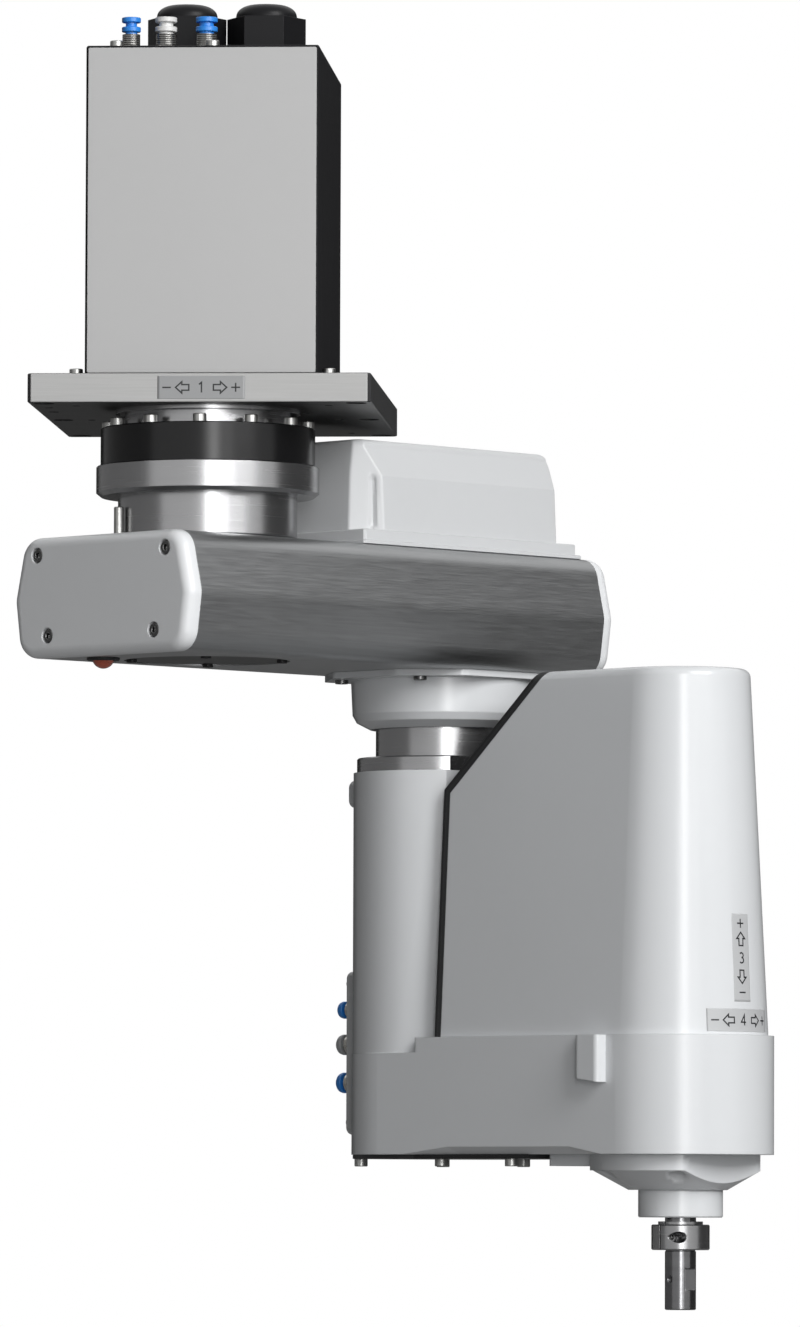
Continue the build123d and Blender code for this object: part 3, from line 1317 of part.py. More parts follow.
for node in (
    base_plate, base_cover, base_front_panel, base_screws, gland_bodies, gland_nuts,
    top_fittings, top_ring_a, top_ring_b, top_ring_c, j1_motor, j1_adapter, j1_reducer_ring,
    j1_ring_screws, j1_bearing_housing,
    arm1_extrusion, arm1_cap_rear, arm1_cap_front, arm1_cap_screws, j1_output_flange,
    stop_pin, arm1_access_cover, arm1_access_screws, lamp_lens,
    j2_motor_cover, j2_motor, j2_reducer_cup, j2_flange_screws, j2_gear_unit,
    j2_output_tube, j2_adapter_ring, arm2_casting, arm2_cover, cover_seal, cover_back_plate,
    rear_panel, rear_panel_screws, rear_fittings, rear_ring_a, rear_ring_b, rear_ring_c,
    arm2_bottom_plate, arm2_under_screws, nut_housing, nut_bearings, nut_cover,
    motor_plate, arm2_motors, u_belt, z_belt, spline_nut, u_pulley, ball_nut, z_pulley,
    u_motor_shaft, z_motor_shaft, quill, stop_collar, collar_screw,
):
    export_step(node.part, f"parts/{node.part.label}.step")
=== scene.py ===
"""Looks of a ceiling-mounted SCARA robot: its finishes, labels, quill tracks and studio.

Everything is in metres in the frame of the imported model: the origin is the centre of the
mounting plate's bolt pattern, +Z is up and +Y leads away from the front of the base box.
"""

import json
import math

import bmesh
import bpy
import numpy as np
from bpy.props import FloatProperty, FloatVectorProperty, IntProperty, PointerProperty
from mathutils import Matrix, Vector


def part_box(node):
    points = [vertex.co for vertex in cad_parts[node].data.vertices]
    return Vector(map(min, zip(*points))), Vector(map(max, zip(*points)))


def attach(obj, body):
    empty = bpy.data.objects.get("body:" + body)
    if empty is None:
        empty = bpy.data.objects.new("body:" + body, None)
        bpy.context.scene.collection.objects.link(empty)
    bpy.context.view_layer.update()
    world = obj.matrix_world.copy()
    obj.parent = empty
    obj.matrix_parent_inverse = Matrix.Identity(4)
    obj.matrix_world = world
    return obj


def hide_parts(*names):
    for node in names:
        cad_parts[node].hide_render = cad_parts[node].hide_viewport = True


bl_info = {
    "name": "Ceiling SCARA robot looks",
    "version": (1, 0, 0),
    "blender": (4, 5, 0),
    "location": "View3D > Sidebar > Robot",
    "description": "Finishes, labels, quill tracks and studio for a ceiling-mounted SCARA robot",
    "category": "Object",
}

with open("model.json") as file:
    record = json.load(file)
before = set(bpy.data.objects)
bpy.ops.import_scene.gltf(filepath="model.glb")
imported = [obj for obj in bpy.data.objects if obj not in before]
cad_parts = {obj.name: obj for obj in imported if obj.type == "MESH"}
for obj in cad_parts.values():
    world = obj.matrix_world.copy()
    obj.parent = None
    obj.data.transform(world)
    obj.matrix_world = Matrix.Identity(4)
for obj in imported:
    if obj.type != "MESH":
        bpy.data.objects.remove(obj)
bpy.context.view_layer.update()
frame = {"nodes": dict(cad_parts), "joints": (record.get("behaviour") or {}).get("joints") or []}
NODES = frame["nodes"]
JOINTS = {joint["name"]: joint for joint in frame["joints"]}
MM = 0.001


def joint_point(name):
    """Point on a joint's axis, as an array."""
    return np.array(JOINTS[name]["pos_m"], float)


def flat_direction(start, end):
    """Level unit vector from one point towards another."""
    run = (end - start) * (1, 1, 0)
    return run / np.linalg.norm(run)


J1 = joint_point("j1_swing")
J2 = joint_point("j2_swing")
J3 = joint_point("u_turn")
ARM1_DIR = flat_direction(J1, J2)
ARM2_DIR = flat_direction(J2, J3)
UP = np.array([0.0, 0.0, 1.0])
ARM1_ACROSS = np.cross(UP, ARM1_DIR)
ARM2_ACROSS = np.cross(UP, ARM2_DIR)
ARM1_TURN = math.atan2(ARM1_DIR[1], ARM1_DIR[0])
ARM2_TURN = math.atan2(ARM2_DIR[1], ARM2_DIR[0])

# the quill, from its axis and from its own lower end, with its straight tracks' angles in degrees
QUILL_BORE = 5.5 * MM
QUILL_CHAMFER = 0.5 * MM
GROUND_RADIUS = 7.9 * MM
GROOVE_DEPTH = 0.4 * MM
TRACK_DEPTH = 0.8 * MM
TRACK_BALL = 1.7 * MM
TRACK_LEAD = 16 * MM
STRAIGHT_TRACKS = (25, 145, 265)
FLAT_LOW = 10.3 * MM
FLAT_HIGH = 20.8 * MM
FLAT_DEPTH = 1.0 * MM
DIMPLE_UP = 15.8 * MM
DIMPLE_R = 1.7 * MM

# motor cover, in arm 1's frame
MCOVER_START = 68 * MM
MCOVER_END = 216 * MM
MCOVER_HALF = 48 * MM
MCOVER_CUT = 13.2 * MM
MCOVER_FOOT = -74.3 * MM
MCOVER_CREASE = -46 * MM
MCOVER_LEAN = 9.5 * MM
MCOVER_END_LEAN = 2.2 * MM
MCOVER_DRAFT = 1.3 * MM
MCOVER_END_DRAFT = 0.9 * MM
MCOVER_BACK_CUT = 5.5 * MM
MCOVER_WALL = 3 * MM
SCOOP_AT = 12.6 * MM
SCOOP_HALF = 2.6 * MM
SCOOP_DEPTH = 1.5 * MM

# flat front of the housing round the nuts, from the quill's axis
HOUSING_FRONT = 30 * MM

# rear panel: its back and its face, from the second joint's axis, and its width
REAR_BACK = 48.2 * MM
REAR_FACE = 56.7 * MM
REAR_WIDE = 34 * MM

# rear fittings: tube radius and ring radius in millimetres, and the ring's slot
REAR_FITTINGS = (
    (2.6, 4.6, "ring_blue"),
    (3.4, 5.5, "ring_grey"),
    (3.4, 5.5, "ring_blue"),
)

# rear boss: its width, its ends under the casting's top, its back and its face
BOSS_WIDE = 33 * MM
BOSS_LOW = 17 * MM
BOSS_HIGH = 2.5 * MM
BOSS_BACK = 44 * MM
BOSS_FACE = 56 * MM

# axes of the two cable glands
GLAND_X = (-15 * MM, 26.5 * MM)
GLAND_Y = -13 * MM

# labels: how far films and marks stand out, where each film is centred, and their greys, the plate's film
# darker than the nose's as painted shade
LABEL_LIFT = 0.06 * MM
MARK_LIFT = 0.05 * MM
PLATE_LABEL_X = 1.3 * MM
LIFT_LABEL_Z = -296.8 * MM
TURN_LABEL_Z = -328.8 * MM
PLATE_LABEL_PAINTED_SHADE = 0.30
NOSE_LABEL_SHADE = 0.50

# places of a label's marks along it, in millimetres from its middle
MINUS_AT = -17.8
PLUS_AT = 17.6
FIRST_ARROW_AT = -9.8
SECOND_ARROW_AT = 9.6
NUMERAL_AT = -0.1

# depth of the rounding round the top of arm 2's cover
NOSE_ROUND = 4.6 * MM


class RobotStageSettings(bpy.types.PropertyGroup):
    """Camera, floor and lamps."""

    camera_place: FloatVectorProperty(
        name="Camera place",
        description="Where the camera stands",
        default=(0.3993, -4.8225, -0.4238),
        subtype="TRANSLATION",
        unit="LENGTH",
    )
    camera_pitch: FloatProperty(
        name="Camera pitch",
        description="How far the camera looks up",
        default=math.radians(3.34),
        subtype="ANGLE",
        unit="ROTATION",
    )
    camera_yaw: FloatProperty(
        name="Camera yaw",
        description="How far the camera turns to the left",
        default=math.radians(3.585),
        subtype="ANGLE",
        unit="ROTATION",
    )
    lens: FloatProperty(
        name="Focal length",
        description="Focal length on a 36 mm sensor, in millimetres",
        default=252.3,
        min=20,
        max=400,
    )
    floor_drop: FloatProperty(
        name="Floor below the quill",
        description="Air between the quill's end, at rest, and the floor",
        default=0.16,
        unit="LENGTH",
    )
    floor_half: FloatProperty(
        name="Floor half width",
        description="Half the side of the floor",
        default=9.0,
        unit="LENGTH",
    )
    key_power: FloatProperty(
        name="Key lamp",
        description="Power of the high softbox on the right",
        default=74.0,
        unit="POWER",
    )
    front_power: FloatProperty(
        name="Front lamp",
        description="Power of the tall softbox beside the camera",
        default=21.0,
        unit="POWER",
    )
    strip_power: FloatProperty(
        name="Strip lamp",
        description="Power of the narrow lamp that draws the bright lines",
        default=22.0,
        unit="POWER",
    )
    back_power: FloatProperty(
        name="Back lamp",
        description="Power of the wide lamp behind the object",
        default=55.0,
        unit="POWER",
    )
    sky: FloatProperty(
        name="Room light",
        description="Strength of the even light from the room",
        default=0.07,
        min=0,
        max=2,
    )


class RobotFinishSettings(bpy.types.PropertyGroup):
    """Colours of the finishes."""

    enamel: FloatVectorProperty(
        name="Arm enamel",
        description="Off-white enamel of arm 2 and of the gear cup",
        default=(0.70, 0.715, 0.73),
        subtype="COLOR",
    )
    cap_enamel: FloatVectorProperty(
        name="Cap enamel",
        description="Light grey enamel of arm 1's caps and motor cover",
        default=(0.60, 0.61, 0.62),
        subtype="COLOR",
    )
    # the front panel's grey is a painted reflection: it stands for the bright surroundings that the box's
    # front reflects
    panel: FloatVectorProperty(
        name="Front panel",
        description="Satin grey of the box's front panel",
        default=(0.46, 0.46, 0.46),
        subtype="COLOR",
    )
    black: FloatVectorProperty(
        name="Black coat",
        description="Powder coat of the box and the gear ring",
        default=(0.012, 0.012, 0.013),
        subtype="COLOR",
    )
    steel: FloatVectorProperty(
        name="Turned steel",
        description="Bare steel of the turned parts",
        default=(0.33, 0.33, 0.335),
        subtype="COLOR",
    )
    extrusion: FloatVectorProperty(
        name="Extrusion",
        description="Brushed aluminium of arm 1",
        default=(0.34, 0.345, 0.35),
        subtype="COLOR",
    )
    fitting_blue: FloatVectorProperty(
        name="Fitting blue",
        description="Blue of the release rings",
        default=(0.025, 0.24, 0.74),
        subtype="COLOR",
    )
    lamp: FloatVectorProperty(
        name="Lamp",
        description="Red of the lamp's dome",
        default=(0.43, 0.085, 0.045),
        subtype="COLOR",
    )


class RobotDetailSettings(bpy.types.PropertyGroup):
    """Sizes of the pieces that are made here."""

    label_length: FloatProperty(
        name="Label length",
        description="Length of each direction label",
        default=45 * MM,
        unit="LENGTH",
    )
    label_height: FloatProperty(
        name="Label height",
        description="Height of each direction label",
        default=11.7 * MM,
        unit="LENGTH",
    )
    mark_width: FloatProperty(
        name="Mark width",
        description="Width of the lines drawn on the labels",
        default=0.74 * MM,
        unit="LENGTH",
    )
    bezel_width: FloatProperty(
        name="Bezel width",
        description="Width of the ring round the lamp",
        default=2.2 * MM,
        unit="LENGTH",
    )
    quill_sides: IntProperty(
        name="Quill sides",
        description="Points round the quill",
        default=144,
        min=48,
        max=200,
    )


def stage_settings():
    """Settings of the camera, floor and lamps."""
    return bpy.context.scene.robot_stage


def finish_settings():
    """Settings of the finishes."""
    return bpy.context.scene.robot_finish


def detail_settings():
    """Settings of the made pieces."""
    return bpy.context.scene.robot_detail


# meshes
def weld_poles(mesh):
    """Joins the points of a row that lie in one place, so that a pole is closed."""
    welded = bmesh.new()
    welded.from_mesh(mesh)
    bmesh.ops.remove_doubles(welded, verts=welded.verts, dist=0.001 * MM)
    welded.to_mesh(mesh)
    welded.free()


def surface(name, points, wrap_rows=False, wrap_columns=False, smooth_angle=35, poles=False):
    """Mesh over a grid of points: each quad joins four neighbours of the grid.

    points has the shape rows, columns, 3. A wrapped side joins its last line to its first,
    and poles are rows whose points all lie in one place.
    """
    rows, columns = points.shape[:2]
    index = np.arange(rows * columns).reshape(rows, columns)
    if wrap_rows:
        index = np.vstack([index, index[:1]])
    if wrap_columns:
        index = np.hstack([index, index[:, :1]])
    quads = np.stack([index[:-1, :-1], index[:-1, 1:], index[1:, 1:], index[1:, :-1]], axis=-1)
    mesh = bpy.data.meshes.new(name)
    mesh.from_pydata(points.reshape(-1, 3).tolist(), [], quads.reshape(-1, 4).tolist())
    if poles:
        weld_poles(mesh)
    mesh.shade_smooth()
    mesh.set_sharp_from_angle(angle=math.radians(smooth_angle))
    piece = bpy.data.objects.new(name, mesh)
    bpy.context.scene.collection.objects.link(piece)
    return piece


def turned(name, outline, centre, sides=96, smooth_angle=35):
    """Ring turned about an upright axis.

    outline is a closed run of (radius, height) points, anticlockwise as seen with the axis on
    the left. Point (row, column) = centre + radius * (cos a, sin a) with a going once round.
    """
    outline = np.array(outline, float)
    turn = np.linspace(0, 2 * math.pi, sides, endpoint=False)
    radius = outline[:, :1]
    points = np.stack(
        [
            centre[0] + radius * np.cos(turn),
            centre[1] + radius * np.sin(turn),
            np.repeat(outline[:, 1:], sides, axis=1),
        ],
        axis=-1,
    )
    return surface(name, points, wrap_rows=True, wrap_columns=True, smooth_angle=smooth_angle)


def lathed(name, outline, centre, axis, sides=64, smooth_angle=35):
    """Ring turned about a level axis through a point.

    outline is a closed run of (radius, reach) points, anticlockwise as seen with the axis on
    the left and its direction up. Point = centre + reach * axis + radius * (cos a * side + sin a * up).
    """
    outline = np.array(outline, float)
    turn = np.linspace(0, 2 * math.pi, sides, endpoint=False)[:, None]
    side = np.cross(UP, axis)
    around = np.cos(turn) * side + np.sin(turn) * np.cross(axis, side)
    points = centre + outline[:, None, 1:] * axis + outline[:, None, :1] * around
    return surface(name, points, wrap_rows=True, wrap_columns=True, smooth_angle=smooth_angle)


def rounded_outline(corners, radii, steps=8, run=10):
    """Closed outline with rounded corners, as (count, 2) points going anticlockwise.

    Each corner becomes an arc that touches both edges: its centre lies radius / sin(half the
    inner angle) from the corner along the bisector. Edges between arcs get evenly spread points.
    """
    corners = np.array(corners, float)
    before = np.roll(corners, 1, axis=0) - corners
    after = np.roll(corners, -1, axis=0) - corners
    before /= np.linalg.norm(before, axis=1, keepdims=True)
    after /= np.linalg.norm(after, axis=1, keepdims=True)
    half = np.arccos(np.clip((before * after).sum(axis=1), -1, 1)) / 2
    bisector = (before + after) / np.linalg.norm(before + after, axis=1, keepdims=True)
    radii = np.array(radii, float)
    centres = corners + bisector * (radii / np.sin(half))[:, None]
    first = corners + before * (radii / np.tan(half))[:, None]
    turn_start = np.arctan2(*(first - centres).T[::-1])
    sweep = (math.pi - 2 * half)[:, None] * np.linspace(0, 1, steps)
    angles = turn_start[:, None] + sweep
    arcs = centres[:, None] + radii[:, None, None] * np.stack([np.cos(angles), np.sin(angles)], axis=-1)
    share = np.linspace(0, 1, run, endpoint=False)[1:, None]
    next_first = np.roll(arcs[:, 0], -1, axis=0)
    runs = arcs[:, None, -1] + share * (next_first - arcs[:, -1])[:, None]
    return np.concatenate([arcs, runs], axis=1).reshape(-1, 2)


def lifted(outline, height, origin, direction, across):
    """Outline in an arm's own plane, put at a height: origin + x * direction + y * across."""
    points = origin + outline[:, :1] * direction + outline[:, 1:] * across
    points[:, 2] = height
    return points


def stroke_quads(line, width, closed=False):
    """Flat strip along a line in a label's own plane, with mitred corners.

    Each point is moved half the width to either side along the sum of its two edge
    normals, divided by one plus the cosine of the turn.
    """
    line = np.array(line, float)
    before = np.roll(line, 1, axis=0)
    after = np.roll(line, -1, axis=0)
    if not closed:
        before[0] = 2 * line[0] - line[1]
        after[-1] = 2 * line[-1] - line[-2]
    edge_in = line - before
    edge_out = after - line
    edge_in /= np.linalg.norm(edge_in, axis=1, keepdims=True)
    edge_out /= np.linalg.norm(edge_out, axis=1, keepdims=True)
    normal_in = np.stack([-edge_in[:, 1], edge_in[:, 0]], axis=1)
    normal_out = np.stack([-edge_out[:, 1], edge_out[:, 0]], axis=1)
    bisector = normal_in + normal_out
    bisector /= 1 + (normal_in * normal_out).sum(axis=1, keepdims=True)
    left = line + bisector * width / 2
    right = line - bisector * width / 2
    points = np.stack([left, right], axis=1)
    count = len(line)
    start = np.arange(count if closed else count - 1)
    end = (start + 1) % count
    quads = np.stack([2 * start, 2 * start + 1, 2 * end + 1, 2 * end], axis=1)
    return points.reshape(-1, 2), quads


def resampled(line, step=0.7 * MM, closed=False):
    """The same line with points no further apart than a step, so that it can bend."""
    line = np.array(line, float)
    if closed:
        line = np.vstack([line, line[:1]])
    runs = []
    for start, end in zip(line[:-1], line[1:]):
        count = max(1, math.ceil(np.linalg.norm(end - start) / step))
        runs.append(start + (end - start) * (np.arange(count) / count)[:, None])
    if not closed:
        runs.append(line[-1:])
    return np.vstack(runs)


def thickened(piece, thickness):
    """Gives a sheet a wall behind its face."""
    wall = piece.modifiers.new("wall", "SOLIDIFY")
    wall.thickness = thickness
    wall.offset = -1
    return piece


def dressed(piece, finish, body):
    """Puts a piece on its body with its finish."""
    piece.data.materials.append(finish)
    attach(piece, body)
    return piece


# marks of the direction labels, in metres from each mark's own centre
def minus_sign():
    """A level bar."""
    return [([(-2.2 * MM, 0), (2.2 * MM, 0)], False)]


def plus_sign():
    """Two crossed bars."""
    return [([(-2.3 * MM, 0), (2.3 * MM, 0)], False), ([(0, -2.3 * MM), (0, 2.3 * MM)], False)]


def arrow(turn):
    """Outline of a block arrow, turned by an angle from pointing right."""
    head = [(0.2, -1.45), (0.2, -2.9), (3.4, 0), (0.2, 2.9), (0.2, 1.45)]
    shape = np.array([(-3.4, -1.45), *head, (-3.4, 1.45)])
    spin = np.array([(math.cos(turn), -math.sin(turn)), (math.sin(turn), math.cos(turn))])
    return [(shape @ spin.T * MM, True)]


def numeral(value):
    """Plain numeral 5.2 mm high: straight strokes and two arcs for the three."""
    bow = np.linspace(math.radians(140), math.radians(-90), 12)
    upper = np.stack([1.3 * np.cos(bow), 1.35 + 1.25 * np.sin(bow)], axis=1)
    lower = np.stack([1.5 * np.cos(-bow), -1.2 + 1.4 * np.sin(-bow)], axis=1)[::-1]
    shapes = {
        1: [(np.array([(-1.1, 1.5), (0.2, 2.6), (0.2, -2.6)]) * MM, False)],
        3: [(upper * MM, False), (lower * MM, False)],
        4: [(np.array([(1.8, -1.0), (-1.6, -1.0), (0.7, 2.6), (0.7, -2.6)]) * MM, False)],
    }
    return shapes[value]


def label_marks(value, upright):
    """Every mark of a label with its centre: signs at the ends, arrows, and the axis number."""
    turns = (-math.pi / 2, math.pi / 2) if upright else (math.pi, 0.0)
    marks = (
        (MINUS_AT, minus_sign()),
        (PLUS_AT, plus_sign()),
        (FIRST_ARROW_AT, arrow(turns[0])),
        (SECOND_ARROW_AT, arrow(turns[1])),
        (NUMERAL_AT, numeral(value)),
    )
    placed = []
    for along, lines in marks:
        centre = np.array((0, along) if upright else (along, 0)) * MM
        placed += [(np.array(line) + centre, closed) for line, closed in lines]
    return placed


def plate_face(along, up, lift):
    """Point on the mounting plate's front face: along it and up from its middle."""
    low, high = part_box("base_plate")
    middle = (low.z + high.z) / 2
    return np.stack([PLATE_LABEL_X + along, np.full_like(along, low.y - lift), middle + up], axis=-1)


def nose_cone():
    """Radius of the cover's nose at its foot, that height, and its change per metre of rise."""
    cover = NODES["arm2_cover"].data
    points = np.empty(len(cover.vertices) * 3)
    cover.vertices.foreach_get("co", points)
    points = points.reshape(-1, 3)
    ahead = (points - J3) @ ARM2_DIR
    foot = points[:, 2].min()
    shoulder = points[:, 2].max() - NOSE_ROUND
    low = ahead[points[:, 2] < foot + 0.1 * MM].max()
    near_shoulder = np.abs(points[:, 2] - shoulder) < 0.6 * MM
    high = ahead[near_shoulder].max()
    rise = points[near_shoulder, 2].mean() - foot
    return low, foot, (high - low) / rise


def nose_face(height):
    """Function for points on the cover's nose: angle = arm's direction + along / radius."""
    low, foot, change = nose_cone()

    def point(along, up, lift):
        """Point on the cone at that distance round it and that height."""
        z = height + up
        radius = low + change * (z - foot)
        angle = ARM2_TURN + along / radius
        reach = radius + lift
        return np.stack([J3[0] + reach * np.cos(angle), J3[1] + reach * np.sin(angle), z], axis=-1)

    return point


def label(name, place, length, height, value, upright, body, shade):
    """Direction label: a thin film on a surface, and its printed marks just above it."""
    detail = detail_settings()
    along = np.linspace(-length / 2, length / 2, 33)
    up = np.linspace(-height / 2, height / 2, 33)
    grid_up, grid_along = np.meshgrid(up, along, indexing="ij")
    film = surface(name + "_film", place(grid_along, grid_up, LABEL_LIFT))
    dressed(thickened(film, 0.05 * MM), label_film(shade), body)
    points = []
    quads = []
    start = 0
    for line, closed in label_marks(value, upright):
        flat, faces = stroke_quads(resampled(line, closed=closed), detail.mark_width, closed)
        points.append(flat)
        quads.append(faces + start)
        start += len(flat)
    flat = np.vstack(points)
    mesh = bpy.data.meshes.new(name + "_marks")
    marked = place(flat[:, 0], flat[:, 1], LABEL_LIFT + MARK_LIFT)
    mesh.from_pydata(marked.tolist(), [], np.vstack(quads).tolist())
    marks = bpy.data.objects.new(name + "_marks", mesh)
    bpy.context.scene.collection.objects.link(marks)
    dressed(thickened(marks, 0.04 * MM), label_ink(), body)


# shared effects
def effect(name, inputs, outputs):
    """Empty node group with named sockets, and its input and output nodes."""
    tree = bpy.data.node_groups.new(name, "ShaderNodeTree")
    for label_text, kind, value in inputs:
        socket = tree.interface.new_socket(name=label_text, in_out="INPUT", socket_type=kind)
        socket.default_value = value
    for label_text, kind in outputs:
        tree.interface.new_socket(name=label_text, in_out="OUTPUT", socket_type=kind)
    return tree, tree.nodes.new("NodeGroupInput"), tree.nodes.new("NodeGroupOutput")


def feed(tree, socket, value):
    """Sets a socket to a plain value, or links it to another socket."""
    if isinstance(value, (int, float, tuple)):
        socket.default_value = value
    else:
        tree.links.new(value, socket)


def math_node(tree, operation, first, second=None, clamp=False):
    """Math node with its inputs linked or set, and its output."""
    node = tree.nodes.new("ShaderNodeMath")
    node.operation = operation
    node.use_clamp = clamp
    feed(tree, node.inputs[0], first)
    if second is not None:
        feed(tree, node.inputs[1], second)
    return node.outputs[0]


def colour_mix(tree, factor, first, second):
    """Colour mix of two sockets or colours, and its output."""
    node = tree.nodes.new("ShaderNodeMix")
    node.data_type = "RGBA"
    for socket, value in ((node.inputs[0], factor), (node.inputs[6], first), (node.inputs[7], second)):
        feed(tree, socket, value)
    return node.outputs[2]


def object_point(tree):
    """Object coordinates."""
    return tree.nodes.new("ShaderNodeTexCoord").outputs["Object"]


def vector_node(tree, operation, first, second=None):
    """Vector math node with its inputs linked or set."""
    node = tree.nodes.new("ShaderNodeVectorMath")
    node.operation = operation
    feed(tree, node.inputs[0], first)
    if second is not None:
        feed(tree, node.inputs[1], second)
    return node


def split(tree, vector):
    """The three parts of a vector."""
    node = tree.nodes.new("ShaderNodeSeparateXYZ")
    tree.links.new(vector, node.inputs[0])
    return node.outputs


def level_distance(tree, across, along):
    """Square root of the sum of two squares."""
    squares = [math_node(tree, "POWER", part, 2.0) for part in (across, along)]
    return math_node(tree, "SQRT", math_node(tree, "ADD", *squares))


def noise(tree, vector, scale, detail=2.0):
    """Noise texture's value at a vector."""
    node = tree.nodes.new("ShaderNodeTexNoise")
    node.inputs["Detail"].default_value = detail
    tree.links.new(vector, node.inputs["Vector"])
    feed(tree, node.inputs["Scale"], scale)
    return node.outputs["Fac"]


def soft_edges_effect():
    """Rounds sharp edges in the shading and marks them: 5 (1 - cosine between the normals)."""
    name = "soft_edges"
    if name in bpy.data.node_groups:
        return bpy.data.node_groups[name]
    tree, given, out = effect(
        name,
        [("Width", "NodeSocketFloat", 0.4 * MM)],
        [("Normal", "NodeSocketVector"), ("Edge", "NodeSocketFloat")],
    )
    bevel = tree.nodes.new("ShaderNodeBevel")
    bevel.samples = 4
    geometry = tree.nodes.new("ShaderNodeNewGeometry")
    tree.links.new(given.outputs["Width"], bevel.inputs["Radius"])
    dot = vector_node(tree, "DOT_PRODUCT", bevel.outputs["Normal"], geometry.outputs["Normal"])
    edge = math_node(tree, "SUBTRACT", 1.0, dot.outputs["Value"])
    edge = math_node(tree, "MULTIPLY", edge, 5.0, clamp=True)
    tree.links.new(bevel.outputs["Normal"], out.inputs["Normal"])
    tree.links.new(edge, out.inputs["Edge"])
    return tree


def tone_effect():
    """Slow drift of a colour over the surface, with fainter small patches in it."""
    name = "tone_drift"
    if name in bpy.data.node_groups:
        return bpy.data.node_groups[name]
    tree, given, out = effect(
        name,
        [
            ("Colour", "NodeSocketColor", (0.5, 0.5, 0.5, 1)),
            ("Spread", "NodeSocketFloat", 0.05),
            ("Scale", "NodeSocketFloat", 14.0),
        ],
        [("Colour", "NodeSocketColor"), ("Patch", "NodeSocketFloat")],
    )
    point = object_point(tree)
    wide = noise(tree, point, given.outputs["Scale"], detail=3)
    fine = noise(tree, point, math_node(tree, "MULTIPLY", given.outputs["Scale"], 9.0), detail=4)
    shares = [math_node(tree, "MULTIPLY", part, share) for part, share in ((wide, 0.65), (fine, 0.35))]
    patch = math_node(tree, "ADD", *shares)
    lift = math_node(tree, "MULTIPLY", math_node(tree, "SUBTRACT", patch, 0.5), given.outputs["Spread"])
    value = math_node(tree, "ADD", math_node(tree, "MULTIPLY", lift, 2.0), 1.0)
    shade = tree.nodes.new("ShaderNodeHueSaturation")
    tree.links.new(given.outputs["Colour"], shade.inputs["Color"])
    tree.links.new(value, shade.inputs["Value"])
    tree.links.new(shade.outputs["Color"], out.inputs["Colour"])
    tree.links.new(patch, out.inputs["Patch"])
    return tree


def turned_lines_effect():
    """Fine turning lines round an upright axis: noise that changes with radius and height."""
    name = "turned_lines"
    if name in bpy.data.node_groups:
        return bpy.data.node_groups[name]
    tree, given, out = effect(
        name,
        [("Centre", "NodeSocketVector", (0, 0, 0)), ("Fineness", "NodeSocketFloat", 2500.0)],
        [("Lines", "NodeSocketFloat"), ("Bands", "NodeSocketFloat")],
    )
    shift = vector_node(tree, "SUBTRACT", object_point(tree), given.outputs["Centre"])
    across, along, height = split(tree, shift.outputs[0])
    turn = math_node(tree, "ARCTAN2", along, across)
    place = tree.nodes.new("ShaderNodeCombineXYZ")
    tree.links.new(level_distance(tree, across, along), place.inputs[0])
    tree.links.new(height, place.inputs[1])
    tree.links.new(math_node(tree, "MULTIPLY", turn, 0.0004), place.inputs[2])
    lines = noise(tree, place.outputs[0], given.outputs["Fineness"], detail=2)
    coarse = math_node(tree, "MULTIPLY", given.outputs["Fineness"], 0.08)
    bands = noise(tree, place.outputs[0], coarse, detail=3)
    tree.links.new(lines, out.inputs["Lines"])
    tree.links.new(bands, out.inputs["Bands"])
    return tree


def brushed_lines_effect():
    """Long brushing lines along one level direction: noise squeezed across that direction."""
    name = "brushed_lines"
    if name in bpy.data.node_groups:
        return bpy.data.node_groups[name]
    tree, given, out = effect(
        name,
        [("Turn", "NodeSocketVector", (0, 0, 0)), ("Fineness", "NodeSocketFloat", 1.0)],
        [("Lines", "NodeSocketFloat"), ("Bands", "NodeSocketFloat")],
    )
    rotate = tree.nodes.new("ShaderNodeVectorRotate")
    rotate.rotation_type = "EULER_XYZ"
    rotate.invert = True
    tree.links.new(object_point(tree), rotate.inputs["Vector"])
    tree.links.new(given.outputs["Turn"], rotate.inputs["Rotation"])
    for socket, squeeze in (("Lines", (60, 2400, 2400)), ("Bands", (22, 700, 700))):
        stretch = tree.nodes.new("ShaderNodeMapping")
        stretch.inputs["Scale"].default_value = squeeze
        tree.links.new(rotate.outputs["Vector"], stretch.inputs["Vector"])
        value = noise(tree, stretch.outputs["Vector"], given.outputs["Fineness"], detail=3)
        tree.links.new(value, out.inputs[socket])
    return tree


def placed(tree, group_tree, **values):
    """An effect placed in a material, with its own values."""
    node = tree.nodes.new("ShaderNodeGroup")
    node.node_tree = group_tree
    for key, value in values.items():
        node.inputs[key].default_value = value
    return node


def new_finish(name):
    """Material with its node tree and shader."""
    finish = bpy.data.materials.new(name)
    finish.use_nodes = True
    tree = finish.node_tree
    return finish, tree, tree.nodes["Principled BSDF"]


def rgba(colour, factor=1.0):
    """A colour as four numbers, made lighter or darker by a factor."""
    return (colour[0] * factor, colour[1] * factor, colour[2] * factor, 1.0)


def relief(tree, shader, height, distance, strength, edges):
    """Bump from a height mask on the shader's normal, over the rounded edges."""
    bump = tree.nodes.new("ShaderNodeBump")
    bump.inputs["Distance"].default_value = distance
    bump.inputs["Strength"].default_value = strength
    tree.links.new(height, bump.inputs["Height"])
    tree.links.new(edges.outputs["Normal"], bump.inputs["Normal"])
    tree.links.new(bump.outputs["Normal"], shader.inputs["Normal"])


def varied(tree, value, middle, spread):
    """A value that drifts with a mask: middle + (mask - 0.5) * spread, kept from 0 to 1."""
    drift = math_node(tree, "MULTIPLY", math_node(tree, "SUBTRACT", value, 0.5), spread)
    return math_node(tree, "ADD", drift, middle, clamp=True)


